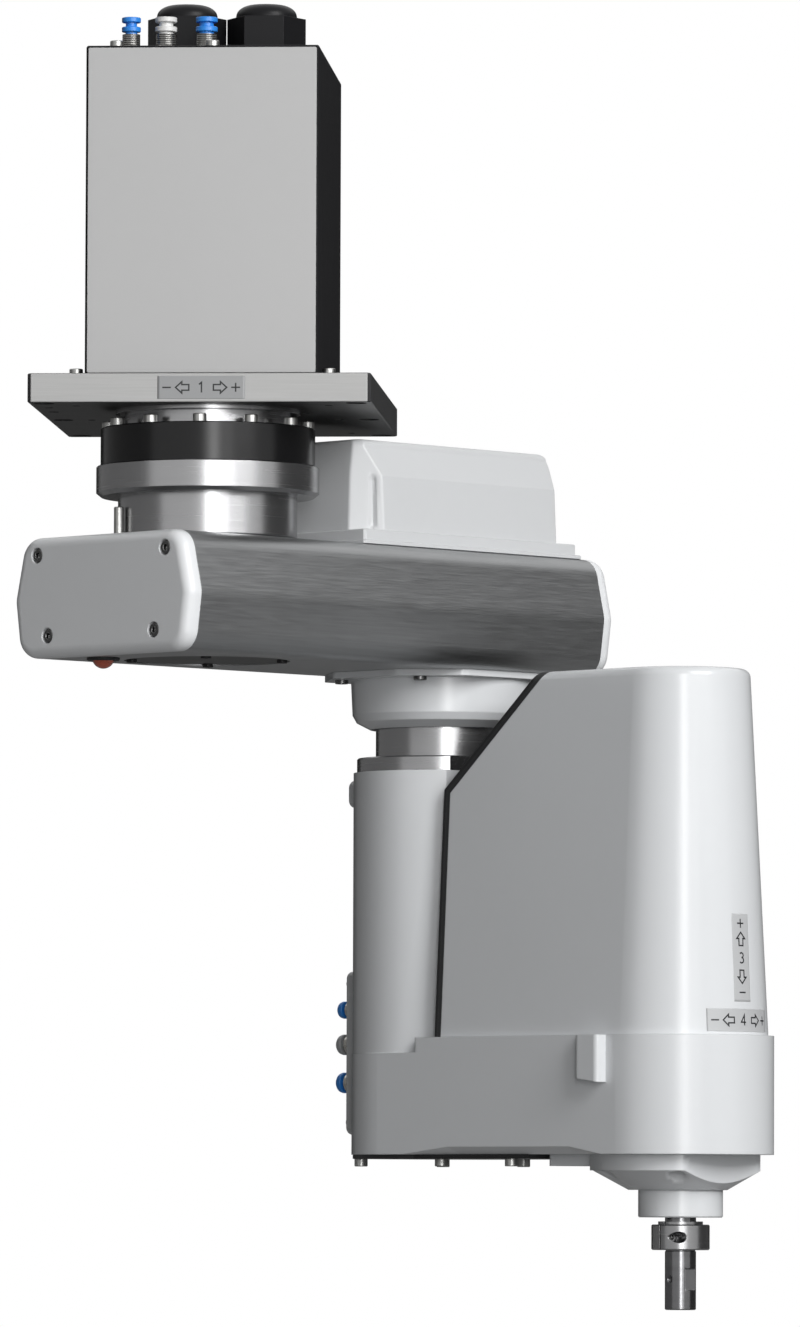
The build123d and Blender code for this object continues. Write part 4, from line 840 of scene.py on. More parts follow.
def rubbed(tree, edges, share, under, bright):
    """Colour under the edge mask, mixed with a brighter one where edges are rubbed."""
    return colour_mix(tree, math_node(tree, "MULTIPLY", edges.outputs["Edge"], share), under, bright)


def painted(name, colour, roughness, peel=0.25, peel_scale=1400.0, edge_width=0.5 * MM,
            edge_tone=1.08, spread=0.025, gloss=0.5):
    """Paint or moulding: drifting tone, fine peel in the surface, and rounded, rubbed edges."""
    finish, tree, shader = new_finish(name)
    tone = placed(tree, tone_effect(), Colour=rgba(colour), Spread=spread)
    edges = placed(tree, soft_edges_effect(), Width=edge_width)
    worn = rubbed(tree, edges, 0.6, tone.outputs["Colour"], rgba(colour, edge_tone))
    tree.links.new(worn, shader.inputs["Base Color"])
    tree.links.new(varied(tree, tone.outputs["Patch"], roughness, 0.12), shader.inputs["Roughness"])
    peel_height = noise(tree, object_point(tree), peel_scale, detail=2)
    relief(tree, shader, peel_height, 0.02 * MM, peel, edges)
    shader.inputs["Specular IOR Level"].default_value = gloss
    return finish


def turned_metal(name, colour, roughness, centre):
    """Turned bare metal: rings round its axis in tone, gloss and relief, with bright edges."""
    finish, tree, shader = new_finish(name)
    tone = placed(tree, tone_effect(), Colour=rgba(colour), Spread=0.05)
    lines = placed(tree, turned_lines_effect(), Centre=tuple(centre))
    edges = placed(tree, soft_edges_effect(), Width=0.35 * MM)
    bands = varied(tree, lines.outputs["Bands"], 0.5, 1.0)
    lined = colour_mix(tree, bands, rgba(colour, 0.94), rgba(colour, 1.06))
    mixed = colour_mix(tree, 0.5, lined, tone.outputs["Colour"])
    worn = rubbed(tree, edges, 0.5, mixed, rgba(colour, 1.5))
    tree.links.new(worn, shader.inputs["Base Color"])
    tree.links.new(varied(tree, lines.outputs["Lines"], roughness, 0.12), shader.inputs["Roughness"])
    shader.inputs["Metallic"].default_value = 1.0
    relief(tree, shader, lines.outputs["Lines"], 0.003 * MM, 0.25, edges)
    return finish


def brushed_metal(name, colour, roughness, turn):
    """Aluminium brushed along its length: long streaks in tone, gloss and relief."""
    finish, tree, shader = new_finish(name)
    lines = placed(tree, brushed_lines_effect(), Turn=(0, 0, turn))
    edges = placed(tree, soft_edges_effect(), Width=0.4 * MM)
    dark, light = rgba(colour, 0.84), rgba(colour, 1.16)
    wide = colour_mix(tree, varied(tree, lines.outputs["Bands"], 0.5, 1.8), dark, light)
    fine = colour_mix(tree, varied(tree, lines.outputs["Lines"], 0.5, 1.6), dark, light)
    streaked = colour_mix(tree, 0.45, wide, fine)
    tree.links.new(streaked, shader.inputs["Base Color"])
    tree.links.new(varied(tree, lines.outputs["Lines"], roughness, 0.22), shader.inputs["Roughness"])
    shader.inputs["Metallic"].default_value = 1.0
    relief(tree, shader, lines.outputs["Lines"], 0.02 * MM, 0.45, edges)
    return finish


def bare_metal(name, colour, roughness, spread=0.10, edge_width=0.3 * MM, edge_gain=1.45):
    """Small bare metal parts: fine even grain in tone and gloss, and bright rubbed edges."""
    finish, tree, shader = new_finish(name)
    tone = placed(tree, tone_effect(), Colour=rgba(colour), Spread=spread, Scale=40.0)
    edges = placed(tree, soft_edges_effect(), Width=edge_width)
    worn = rubbed(tree, edges, 0.5, tone.outputs["Colour"], rgba(colour, edge_gain))
    tree.links.new(worn, shader.inputs["Base Color"])
    tree.links.new(varied(tree, tone.outputs["Patch"], roughness, 0.2), shader.inputs["Roughness"])
    shader.inputs["Metallic"].default_value = 1.0
    relief(tree, shader, noise(tree, object_point(tree), 900.0, detail=3), 0.01 * MM, 0.3, edges)
    return finish


def plate_finish():
    """Mounting plate: a front face of plating made bright by a painted reflection, and black oxide with
    painted shade on its other faces.
    """
    finish, tree, shader = new_finish("plated plate")
    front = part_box("base_plate")[0].y
    # mask of the front face, where a painted reflection makes the plate bright
    on_front = math_node(tree, "LESS_THAN", split(tree, object_point(tree))[1], front + 0.3 * MM)
    lines = placed(tree, brushed_lines_effect(), Fineness=0.6)
    edges = placed(tree, soft_edges_effect(), Width=0.5 * MM)
    streaks = varied(tree, lines.outputs["Lines"], 0.5, 1.4)
    plated_and_lit_front = colour_mix(tree, streaks, (0.43, 0.43, 0.425, 1), (0.49, 0.49, 0.485, 1))
    # tone of the other faces: black oxide, darkened as painted shade
    oxide = placed(tree, tone_effect(), Colour=(0.034, 0.034, 0.035, 1), Spread=0.12)
    worn = rubbed(tree, edges, 0.35, oxide.outputs["Colour"], (0.10, 0.10, 0.10, 1))
    tree.links.new(colour_mix(tree, on_front, worn, plated_and_lit_front), shader.inputs["Base Color"])
    rough = varied(tree, lines.outputs["Lines"], 0.40, 0.16)
    tree.links.new(rough, shader.inputs["Roughness"])
    shader.inputs["Specular IOR Level"].default_value = 0.3
    relief(tree, shader, lines.outputs["Lines"], 0.02 * MM, 0.3, edges)
    return finish


def threaded_metal(name, colour, pitch):
    """Plated screw thread on an upright axis: rings of height by sin(2 pi z / pitch), and painted shade in
    the same rings that darkens the grooves.
    """
    finish, tree, shader = new_finish(name)
    phase = math_node(tree, "MULTIPLY", split(tree, object_point(tree))[2], 2 * math.pi / pitch)
    thread_height_and_groove_shade = varied(tree, math_node(tree, "SINE", phase), 1.0, 0.5)
    tone = placed(tree, tone_effect(), Colour=rgba(colour), Spread=0.10, Scale=40.0)
    edges = placed(tree, soft_edges_effect(), Width=0.3 * MM)
    # painted shade: the thread's grooves are darkened to about a third of the metal's colour
    groove_shaded = colour_mix(tree, thread_height_and_groove_shade, rgba(colour, 0.35), tone.outputs["Colour"])
    tree.links.new(groove_shaded, shader.inputs["Base Color"])
    tree.links.new(varied(tree, tone.outputs["Patch"], 0.28, 0.2), shader.inputs["Roughness"])
    shader.inputs["Metallic"].default_value = 1.0
    relief(tree, shader, thread_height_and_groove_shade, 0.25 * MM, 0.8, edges)
    return finish


def lens_finish():
    """Lamp dome: red-orange moulding with a soft gloss, painted lighter at its tip and darker at its rim by
    the arm, as painted light and shade.
    """
    settings = finish_settings()
    finish, tree, shader = new_finish("lamp lens")
    low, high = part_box("lamp_lens")
    rise = math_node(tree, "SUBTRACT", split(tree, object_point(tree))[2], low.z)
    depth = math_node(tree, "MULTIPLY", rise, 1 / (high.z - low.z))
    # painted light and shade: lighter at the dome's tip, darker up at its rim against the arm
    colour = colour_mix(tree, depth, rgba(settings.lamp, 1.25), rgba(settings.lamp, 0.5))
    edges = placed(tree, soft_edges_effect(), Width=0.3 * MM)
    tree.links.new(colour, shader.inputs["Base Color"])
    ripple = noise(tree, object_point(tree), 700.0, detail=1)
    tree.links.new(varied(tree, ripple, 0.18, 0.1), shader.inputs["Roughness"])
    shader.inputs["Coat Weight"].default_value = 0.4
    relief(tree, shader, ripple, 0.02 * MM, 0.2, edges)
    return finish


def belt_finish():
    """Toothed belt: black rubber with fine ribs."""
    black = (0.018, 0.018, 0.018)
    return painted("belt rubber", black, 0.62, peel=0.5, peel_scale=900, edge_tone=1.6, spread=0.1)


def label_film(shade):
    """Grey printed film of the labels, in one of its greys: the plate's is darker, as painted shade."""
    name = "label film %.2f" % shade
    if name in bpy.data.materials:
        return bpy.data.materials[name]
    grey = (shade, shade * 1.015, shade * 1.03)
    return painted(name, grey, 0.42, peel=0.12, peel_scale=2500, edge_width=0.05 * MM, edge_tone=1.0,
                   spread=0.03)


def label_ink():
    """Dark ink of the labels' marks."""
    name = "label ink"
    if name in bpy.data.materials:
        return bpy.data.materials[name]
    return painted(name, (0.012, 0.012, 0.014), 0.5, peel=0.1, peel_scale=2500, edge_width=0.05 * MM,
                   edge_tone=1.0, spread=0.06)


def seal_rubber():
    """Black rubber of seals and of the lamp's bezel."""
    name = "seal rubber"
    if name in bpy.data.materials:
        return bpy.data.materials[name]
    black = (0.014, 0.014, 0.015)
    return painted(name, black, 0.55, peel=0.35, peel_scale=1800, edge_tone=1.5, spread=0.12)


def quill_finish():
    """Ground steel of the quill: fine grinding lines, painted shade darkening the track floors, and a
    milled flat that is rougher and made paler by painted light.

    The flat is where a point's reach along arm 2, from the quill's axis, is the flat's.
    """
    finish, tree, shader = new_finish("quill steel")
    colour = (0.19, 0.19, 0.195)
    lines = placed(tree, turned_lines_effect(), Centre=tuple(J3), Fineness=3200.0)
    edges = placed(tree, soft_edges_effect(), Width=0.2 * MM)
    shift = vector_node(tree, "SUBTRACT", object_point(tree), tuple(J3))
    across, along, height = split(tree, shift.outputs[0])
    sunk = math_node(tree, "SUBTRACT", GROUND_RADIUS, level_distance(tree, across, along))
    sunk = math_node(tree, "MULTIPLY", sunk, 1 / TRACK_DEPTH, clamp=True)
    bands = varied(tree, lines.outputs["Bands"], 0.5, 1.3)
    ground = colour_mix(tree, bands, rgba(colour, 0.86), rgba(colour, 1.14))
    # painted shade on the track floors, darker where they are deeper
    track_floor_painted_shade = colour_mix(tree, math_node(tree, "MULTIPLY", sunk, 0.55), ground, rgba(colour, 0.42))
    ahead = vector_node(tree, "DOT_PRODUCT", shift.outputs[0], tuple(ARM2_DIR)).outputs["Value"]
    low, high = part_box("quill")
    foot = low.z - J3[2]
    milled = math_node(tree, "GREATER_THAN", ahead, (high.x - low.x) / 2 - FLAT_DEPTH - 0.03 * MM)
    milled = math_node(tree, "MULTIPLY", milled, math_node(tree, "LESS_THAN", height, foot + FLAT_HIGH))
    milled = math_node(tree, "MULTIPLY", milled, math_node(tree, "GREATER_THAN", height, foot + FLAT_LOW))
    # the milled flat is painted paler as painted light, on top of its rougher finish below
    tree.links.new(colour_mix(tree, milled, track_floor_painted_shade, rgba(colour, 1.7)), shader.inputs["Base Color"])
    rough = varied(tree, lines.outputs["Lines"], 0.20, 0.08)
    rough = math_node(tree, "ADD", rough, math_node(tree, "MULTIPLY", milled, 0.28))
    tree.links.new(rough, shader.inputs["Roughness"])
    shader.inputs["Metallic"].default_value = 1.0
    relief(tree, shader, lines.outputs["Lines"], 0.002 * MM, 0.15, edges)
    return finish


def axis_of(node_name):
    """Point on the arm axis that lies nearest to a node's middle."""
    low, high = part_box(node_name)
    middle = np.array((low + high) / 2)
    gaps = [np.linalg.norm((middle - point)[:2]) for point in (J1, J2, J3)]
    return (J1, J2, J3)[int(np.argmin(gaps))]


# nodes whose finish isn't the one of their slot, and the finishes made so far
SPECIAL_SLOTS = {
    "arm1_cap_screws": "dark_screw",
    "collar_screw": "dark_screw",
    # the flange bolts sit in notches: their dark finish is painted shade
    "j2_flange_screws": "dark_screw",
    # arm 1's end caps get a lighter copy of the cap enamel: painted light
    "arm1_cap_front": "end_cap",
    "arm1_cap_rear": "end_cap",
    "top_fittings": "threaded_fitting",
}
MADE = {}


def finish_for(node_name, slot):
    """The finish of a CAD node, made once for all nodes that share it."""
    settings = finish_settings()
    axis = axis_of(node_name)
    turned_name = "turned steel " + str([J1[0], J2[0], J3[0]].index(axis[0]) + 1)
    makers = {
        "plate_steel": plate_finish,
        "box_black": lambda: painted("powder coat", settings.black, 0.50, peel=0.6, peel_scale=1100,
                                     edge_tone=2.2, spread=0.12, gloss=0.07),
        # front panel: grey as a painted reflection of the bright surroundings
        "panel_grey": lambda: painted("satin panel", settings.panel, 0.40, peel=0.25, peel_scale=2200,
                                      edge_tone=1.12, spread=0.03),
        "screw_steel": lambda: bare_metal("screw steel", (0.34, 0.34, 0.33), 0.34),
        "gland_black": lambda: painted("gland nylon", (0.009, 0.009, 0.010), 0.36, peel=0.3,
                                       peel_scale=1500, edge_tone=1.9, spread=0.1, gloss=0.14),
        "fitting_metal": lambda: bare_metal("nickel plate", (0.46, 0.45, 0.42), 0.24),
        "threaded_fitting": lambda: threaded_metal("nickel thread", (0.20, 0.197, 0.19), 1.0 * MM),
        "ring_blue": lambda: painted("blue moulding", settings.fitting_blue, 0.36, peel=0.2, edge_tone=1.25,
                                     edge_width=0.35 * MM, spread=0.05),
        "ring_white": lambda: painted("white moulding", (0.72, 0.72, 0.71), 0.36, peel=0.2, edge_tone=1.05,
                                      edge_width=0.35 * MM, spread=0.03),
        "ring_grey": lambda: painted("grey moulding", (0.42, 0.43, 0.44), 0.36, peel=0.2, edge_tone=1.12,
                                     edge_width=0.35 * MM, spread=0.03),
        "motor_black": lambda: painted("motor housing", (0.020, 0.020, 0.021), 0.46, peel=0.4,
                                       peel_scale=900, edge_tone=1.8, spread=0.1),
        "turned_steel": lambda: turned_metal(turned_name, settings.steel, 0.25, axis),
        "reducer_black": lambda: painted("black gear ring", (0.006, 0.006, 0.0065), 0.22, peel=0.2,
                                         peel_scale=1600, edge_tone=2.4, spread=0.1, gloss=0.3),
        "arm_aluminium": lambda: brushed_metal("brushed extrusion", settings.extrusion, 0.40, ARM1_TURN),
        "cap_grey": lambda: painted("grey enamel", settings.cap_enamel, 0.40, edge_width=0.7 * MM),
        "lamp_red": lens_finish,
        "arm_white": lambda: painted("white enamel", settings.enamel, 0.24, edge_tone=1.06,
                                     edge_width=0.8 * MM),
        "cover_white": lambda: painted("cover enamel", settings.enamel, 0.22, peel=0.18, edge_tone=1.05,
                                       edge_width=0.8 * MM, spread=0.02),
        "seal_black": seal_rubber,
        # the cap enamel made 1.32 times lighter: painted light on the end caps
        "end_cap": lambda: painted("end cap enamel", rgba(settings.cap_enamel, 1.32)[:3], 0.36,
                                   edge_tone=1.05, edge_width=0.7 * MM),
        # dark screws; on the recessed flange bolts the darkness is painted shade
        "dark_screw": lambda: bare_metal("dark socket screw", (0.11, 0.11, 0.11), 0.26, edge_width=0.5 * MM,
                                         spread=0.15, edge_gain=6.0),
        "dark_plate": lambda: painted("black oxide", (0.022, 0.022, 0.023), 0.36, peel=0.3, peel_scale=1500,
                                      edge_tone=2.6, spread=0.12, gloss=0.25),
        "quill_steel": lambda: turned_metal("ground steel", (0.36, 0.36, 0.365), 0.28, J3),
        "bearing_steel": lambda: turned_metal("bearing steel", (0.45, 0.45, 0.45), 0.24, J3),
        "pulley_aluminium": lambda: bare_metal("machined aluminium", (0.50, 0.50, 0.505), 0.36,
                                               spread=0.06),
        "belt_rubber": belt_finish,
    }
    slot = SPECIAL_SLOTS.get(node_name, slot)
    key = (slot, turned_name if slot == "turned_steel" else "")
    if key not in MADE:
        MADE[key] = makers[slot]()
    return MADE[key]


# pieces
def track_depth(turn, height):
    """Depth of the quill's ball tracks under its round face, at an angle and a height.

    A track's floor is an arc: sqrt(ball^2 - gap^2) - (ball - depth), where gap is the distance
    from the track's middle line. One track winds round with its lead, and three run straight.
    """
    radius = (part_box("quill")[1].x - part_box("quill")[0].x) / 2
    slope = math.atan2(TRACK_LEAD, 2 * math.pi * radius)
    middles = [turn - 2 * math.pi * height / TRACK_LEAD]
    middles += [turn - ARM2_TURN - math.radians(angle) for angle in STRAIGHT_TRACKS]
    narrowings = [math.sin(slope), 1.0, 1.0, 1.0]
    depth = np.zeros(np.broadcast(turn, height).shape)
    for middle, narrowing in zip(middles, narrowings):
        gap = np.angle(np.exp(1j * middle)) * radius * narrowing
        floor = np.sqrt(np.clip(TRACK_BALL ** 2 - gap ** 2, 0, None)) - (TRACK_BALL - TRACK_DEPTH)
        depth = np.maximum(depth, floor)
    return depth


def make_quill():
    """Hollow quill: round bar with ball tracks, and a plain tool end with a flat and a dimple.

    Radius(angle, height) = radius - track depth; on the flat it is at most
    (radius - flat depth) / cos(angle from the flat), and in the dimple a ball is taken off.
    The grid goes up the outside and down the bore.
    """
    detail = detail_settings()
    low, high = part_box("quill")
    radius = (high.x - low.x) / 2
    bottom = low.z
    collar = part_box("stop_collar")
    visible_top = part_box("nut_cover")[0].z + 150 * MM
    chamfer = QUILL_CHAMFER
    ends = [bottom, bottom + chamfer, bottom + 2 * chamfer]
    tool = np.arange(bottom + 2.2 * MM, collar[0].z - 1.2 * MM, 0.6 * MM)
    groove = collar[0].z + np.array([-0.62, -0.50, -0.48, -0.02, 0.0]) * MM
    tracks = np.arange(collar[0].z + 0.6 * MM, visible_top, 0.6 * MM)
    upper = np.arange(visible_top + 0.6 * MM, high.z - 1.5 * MM, 1.2 * MM)
    top = [high.z - 2 * chamfer, high.z - chamfer, high.z]
    heights = np.concatenate([ends, tool, groove, tracks, upper, top])
    turn = np.linspace(0, 2 * math.pi, detail.quill_sides, endpoint=False)
    angle, height = np.meshgrid(turn, heights)
    reach = np.full(angle.shape, radius)
    fade = np.clip((height - collar[1].z - 1.0 * MM) / (3 * MM), 0, 1)
    fade = fade * np.clip((high.z - 3 * MM - height) / (3 * MM), 0, 1)
    reach -= track_depth(angle, height) * fade
    in_groove = (height > groove[1] - 1e-9) & (height < groove[-2] + 1e-9)
    reach[in_groove] -= GROOVE_DEPTH
    to_flat = np.cos(angle - ARM2_TURN)
    rise = height - bottom
    on_flat = (to_flat > 0.5) & (rise > FLAT_LOW) & (rise < FLAT_HIGH)
    reach[on_flat] = np.minimum(reach[on_flat], (radius - FLAT_DEPTH) / to_flat[on_flat])
    from_dimple = np.angle(np.exp(1j * (angle - ARM2_TURN + math.pi / 2))) * radius
    gap = np.hypot(from_dimple, rise - DIMPLE_UP)
    reach -= np.clip(np.sqrt(np.clip(DIMPLE_R ** 2 - gap ** 2, 0, None)) * 0.7, 0, None)
    at_end = np.minimum(rise, high.z - height)
    reach = np.minimum(reach, radius - np.clip(chamfer - at_end, 0, None))
    outer = np.stack([J3[0] + reach * np.cos(angle), J3[1] + reach * np.sin(angle), height], axis=-1)
    bore_heights = np.array([high.z, high.z - 0.4 * MM, (high.z + bottom) / 2, bottom + 0.4 * MM, bottom])
    bore_radii = QUILL_BORE + np.array([0.4, 0, 0, 0, 0.4]) * MM
    inner = np.stack(
        [
            J3[0] + bore_radii[:, None] * np.cos(turn),
            J3[1] + bore_radii[:, None] * np.sin(turn),
            np.repeat(bore_heights[:, None], len(turn), axis=1),
        ],
        axis=-1,
    )
    grid = np.concatenate([outer, inner])
    piece = surface("quill_tracks", grid, wrap_rows=True, wrap_columns=True, smooth_angle=28)
    dressed(piece, quill_finish(), "quill")
    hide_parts("quill")


def cut_plan(start, end, half, start_cut, end_cut, radii):
    """Rectangle from start to end and half to either side, its corners cut at 45 degrees and rounded."""
    corners = [
        (end, -half + end_cut),
        (end, half - end_cut),
        (end - end_cut, half),
        (start + start_cut, half),
        (start, half - start_cut),
        (start, -half + start_cut),
        (start + start_cut, -half),
        (end - end_cut, -half),
    ]
    return rounded_outline(corners, radii, steps=7, run=14)


def motor_cover_section(front_in, side_in, inset):
    """Plan of the motor cover in arm 1's frame, with cut and rounded corners.

    The long faces stand in by front_in, the end faces by side_in, and all by the inset. The
    cuts towards the first joint shorten as the long faces come in, because they stay upright.
    """
    half = MCOVER_HALF - front_in - inset
    start = MCOVER_START + side_in + inset
    end = MCOVER_END - side_in - inset
    cut = max(MCOVER_CUT - front_in - 0.59 * inset, 1.5 * MM)
    back_cut = max(MCOVER_BACK_CUT - 0.55 * front_in - 0.59 * inset, 1.5 * MM)
    small = min(1.0 * MM, back_cut * 0.4)
    large = min(2.4 * MM, cut * 0.5)
    return cut_plan(start, end, half, cut, back_cut, [small] * 3 + [large] * 4 + [small])


def foot_section(start, end, half):
    """Plan of a step of the motor cover's foot, with as many points as the cover's."""
    return cut_plan(start, end, half, 1.2 * MM, 1.2 * MM, [0.5 * MM] * 8)


def scooped(outline, height):
    """The outline with an upright scoop pressed into each cut towards the first joint.

    Depth = deepest * cos^2 of the distance along the cut from the scoop's middle, where that
    is under the scoop's half width, and it fades out under the crease and above the foot.
    """
    fade = np.clip((MCOVER_CREASE + 1 * MM - height) / (3 * MM), 0, 1)
    fade = fade * np.clip((height - MCOVER_FOOT - 0.8 * MM) / (2 * MM), 0, 1)
    pressed = outline.copy()
    for side in (-1, 1):
        normal = np.array([-1, side]) / math.sqrt(2)
        first = np.array([MCOVER_START, side * (MCOVER_HALF - MCOVER_CUT)])
        along = np.array([1, side]) / math.sqrt(2)
        reach = (outline - first) @ along
        near = np.abs((outline - first) @ normal) < 2.5 * MM
        gap = (reach - SCOOP_AT) / SCOOP_HALF
        depth = np.where(near & (np.abs(gap) < 1), np.cos(np.clip(gap, -1, 1) * math.pi / 2) ** 2, 0)
        pressed -= normal * (depth * SCOOP_DEPTH * fade)[:, None]
    return pressed


def make_motor_cover():
    """Cast cover of the second joint's motor, in place of the CAD one.

    Rows go down its inside, out under the stepped foot and up its outside: drafted up to the
    crease, leaning in from there, and round at the top edge with height = r sin a and
    inset = r (1 - cos a). Both tops close in a pole.
    """
    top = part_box("j2_motor_cover")[1].z
    foot_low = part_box("j2_motor_cover")[0].z
    foot_mid = foot_low + 2 * MM
    round_r = 4 * MM
    middle = np.array([[(MCOVER_START + MCOVER_END) / 2, 0.0]])

    def leaning(height):
        """How far the long and the end faces have come in at a height."""
        low = np.clip((height - MCOVER_FOOT) / (MCOVER_CREASE - MCOVER_FOOT), 0, 1)
        high = np.clip((height - MCOVER_CREASE) / (top - MCOVER_CREASE), 0, 1)
        long_in = MCOVER_DRAFT * low + MCOVER_LEAN * high
        end_in = MCOVER_END_DRAFT * low + MCOVER_END_LEAN * high
        return long_in, end_in

    rows = []
    wall = MCOVER_WALL
    inner = [(top - wall, wall + 2 * MM), (MCOVER_CREASE, wall), (MCOVER_FOOT, wall), (foot_low, wall)]
    first = motor_cover_section(*leaning(top - wall), wall + 2 * MM)
    rows.append((np.repeat(middle, len(first), axis=0), top - wall))
    rows += [(motor_cover_section(*leaning(height), inset), height) for height, inset in inner]
    steps = (
        (MCOVER_START - 5 * MM, MCOVER_END + 10.5 * MM, MCOVER_HALF + 4 * MM, foot_low, foot_mid),
        (MCOVER_START - 3 * MM, MCOVER_END + 8 * MM, MCOVER_HALF + 2 * MM, foot_mid, MCOVER_FOOT),
    )
    for start, end, half, low, high in steps:
        edge = 0.5 * MM
        rows.append((foot_section(start, end, half), low))
        rows.append((foot_section(start, end, half), high - edge))
        rows.append((foot_section(start + edge, end - edge, half - edge), high))
    lower = np.linspace(MCOVER_FOOT, MCOVER_CREASE, 26)
    upper = np.linspace(MCOVER_CREASE, top - round_r, 12)[1:]
    for height in np.concatenate([lower, upper]):
        rows.append((scooped(motor_cover_section(*leaning(height), 0), height), height))
    for angle in np.linspace(0, math.pi / 2, 9)[1:]:
        height = top - round_r + round_r * math.sin(angle)
        inset = round_r * (1 - math.cos(angle))
        rows.append((motor_cover_section(*leaning(top - round_r), inset), height))
    rows.append((middle + (rows[-1][0] - middle) * 0.5, top))
    rows.append((np.repeat(middle, len(first), axis=0), top))
    grid = np.stack([lifted(outline, height, J1, ARM1_DIR, ARM1_ACROSS) for outline, height in rows])
    cover = surface("motor_cover_casting", grid, wrap_columns=True, smooth_angle=16, poles=True)
    dressed(cover, finish_for("j2_motor_cover", "cap_grey"), "arm1")
    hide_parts("j2_motor_cover")


def make_nut_housing():
    """Housing under arm 2's front: the CAD one's surface with its front planed flat.

    All points further along the arm than the plane are cut off, and the cut is closed with a
    flat face. A grid can't give it, because its face joins a cone, a plan and screw pockets.
    """
    source = NODES["nut_housing"]
    mesh = bpy.data.meshes.new("nut_housing_casting")
    planed = bmesh.new()
    planed.from_mesh(source.data)
    bmesh.ops.remove_doubles(planed, verts=planed.verts, dist=0.001 * MM)
    everything = planed.verts[:] + planed.edges[:] + planed.faces[:]
    cut = bmesh.ops.bisect_plane(
        planed,
        geom=everything,
        plane_co=Vector(J3 + ARM2_DIR * HOUSING_FRONT),
        plane_no=Vector(ARM2_DIR),
        clear_outer=True,
    )
    rim = [piece for piece in cut["geom_cut"] if isinstance(piece, bmesh.types.BMEdge)]
    bmesh.ops.triangle_fill(planed, edges=rim, use_beauty=True)
    bmesh.ops.recalc_face_normals(planed, faces=planed.faces)
    planed.to_mesh(mesh)
    open_edges = sum(1 for edge in planed.edges if not edge.is_manifold)
    planed.free()
    if open_edges:
        raise RuntimeError("the planed housing has %d open edges" % open_edges)
    mesh.shade_smooth()
    mesh.set_sharp_from_angle(angle=math.radians(30))
    housing = bpy.data.objects.new("nut_housing_casting", mesh)
    bpy.context.scene.collection.objects.link(housing)
    mesh.materials.clear()
    dressed(housing, finish_for("nut_housing", "arm_white"), "arm2")
    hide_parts("nut_housing")


def make_rear_fittings():
    """Push-in fittings of the rear panel: a body with a ribbed nut, and a domed release ring.

    Both stand out from the panel's face along its normal. The ring replaces the CAD ring and
    rides with it, and its neck runs in the body's bore.
    """
    outward = -ARM2_DIR
    for letter, (tube, ring_r, slot) in zip("abc", REAR_FITTINGS):
        low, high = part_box("rear_ring_" + letter)
        centre = J2 - ARM2_DIR * REAR_FACE
        centre[2] = (low.z + high.z) / 2
        bore = tube + 0.05
        body_r = tube + 1.9
        ribs = []
        for reach in np.arange(1.0, 7.0, 1.0):
            ribs += [(body_r + 0.5, reach), (body_r + 0.5, reach + 0.55), (body_r + 0.1, reach + 0.7)]
        outline = [(bore, 0.2), (body_r + 0.5, 0.2), *ribs, (body_r, 7.4), (body_r, 13.6)]
        outline += [(body_r - 0.5, 14.2), (bore + 0.3, 14.2), (bore, 13.9)]
        body = lathed("rear_body_" + letter, np.array(outline) * MM, centre, outward)
        dressed(body, finish_for("rear_fittings", "fitting_metal"), "arm2")
        neck = tube - 0.15
        hole = tube - 1.4
        collar = [
            (hole, 4.0), (neck, 4.0), (neck, 16.0), (ring_r - 0.4, 16.0), (ring_r, 16.4), (ring_r, 18.2),
            (ring_r - 0.3, 19.3), (ring_r - 1.1, 20.2), (ring_r - 2.2, 20.6), (hole + 0.4, 20.6),
            (hole, 20.2),
        ]
        ring = lathed("release_ring_" + letter, np.array(collar) * MM, centre, outward)
        dressed(ring, finish_for("rear_ring_" + letter, slot), "rear_ring_" + letter)
        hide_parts("rear_ring_" + letter)


def rounded_block(name, width, low, high, back, face, round_r):
    """Block across arm 2's rear: a rounded rectangle in the plane of the face, pushed out.

    Rows run from the middle of the back, out over the edge with inset = r (1 - cos a) and
    reach = face - r (1 - sin a), and close in the middle of the face.
    """
    half = (high - low) / 2
    middle = (high + low) / 2

    def outline(inset):
        """Outline in the face's plane, as (across, up)."""
        wide = width / 2 - inset
        tall = half - inset
        corner = max(4 * MM - inset, 1 * MM)
        corners = [(-wide, -tall), (wide, -tall), (wide, tall), (-wide, tall)]
        return rounded_outline(corners, [corner] * 4, steps=8, run=8)

    rows = [(outline(0) * 0, back), (outline(0), back)]
    for angle in np.linspace(0, math.pi / 2, 7):
        rows.append((outline(round_r * (1 - math.cos(angle))), face - round_r * (1 - math.sin(angle))))
    rows += [(rows[-1][0] * 0.5, face), (rows[-1][0] * 0, face)]
    grid = []
    for flat, reach in rows:
        points = J2 - ARM2_DIR * reach - flat[:, :1] * ARM2_ACROSS
        points[:, 2] = middle + flat[:, 1]
        grid.append(points)
    return surface(name, np.stack(grid), wrap_columns=True, smooth_angle=25, poles=True)


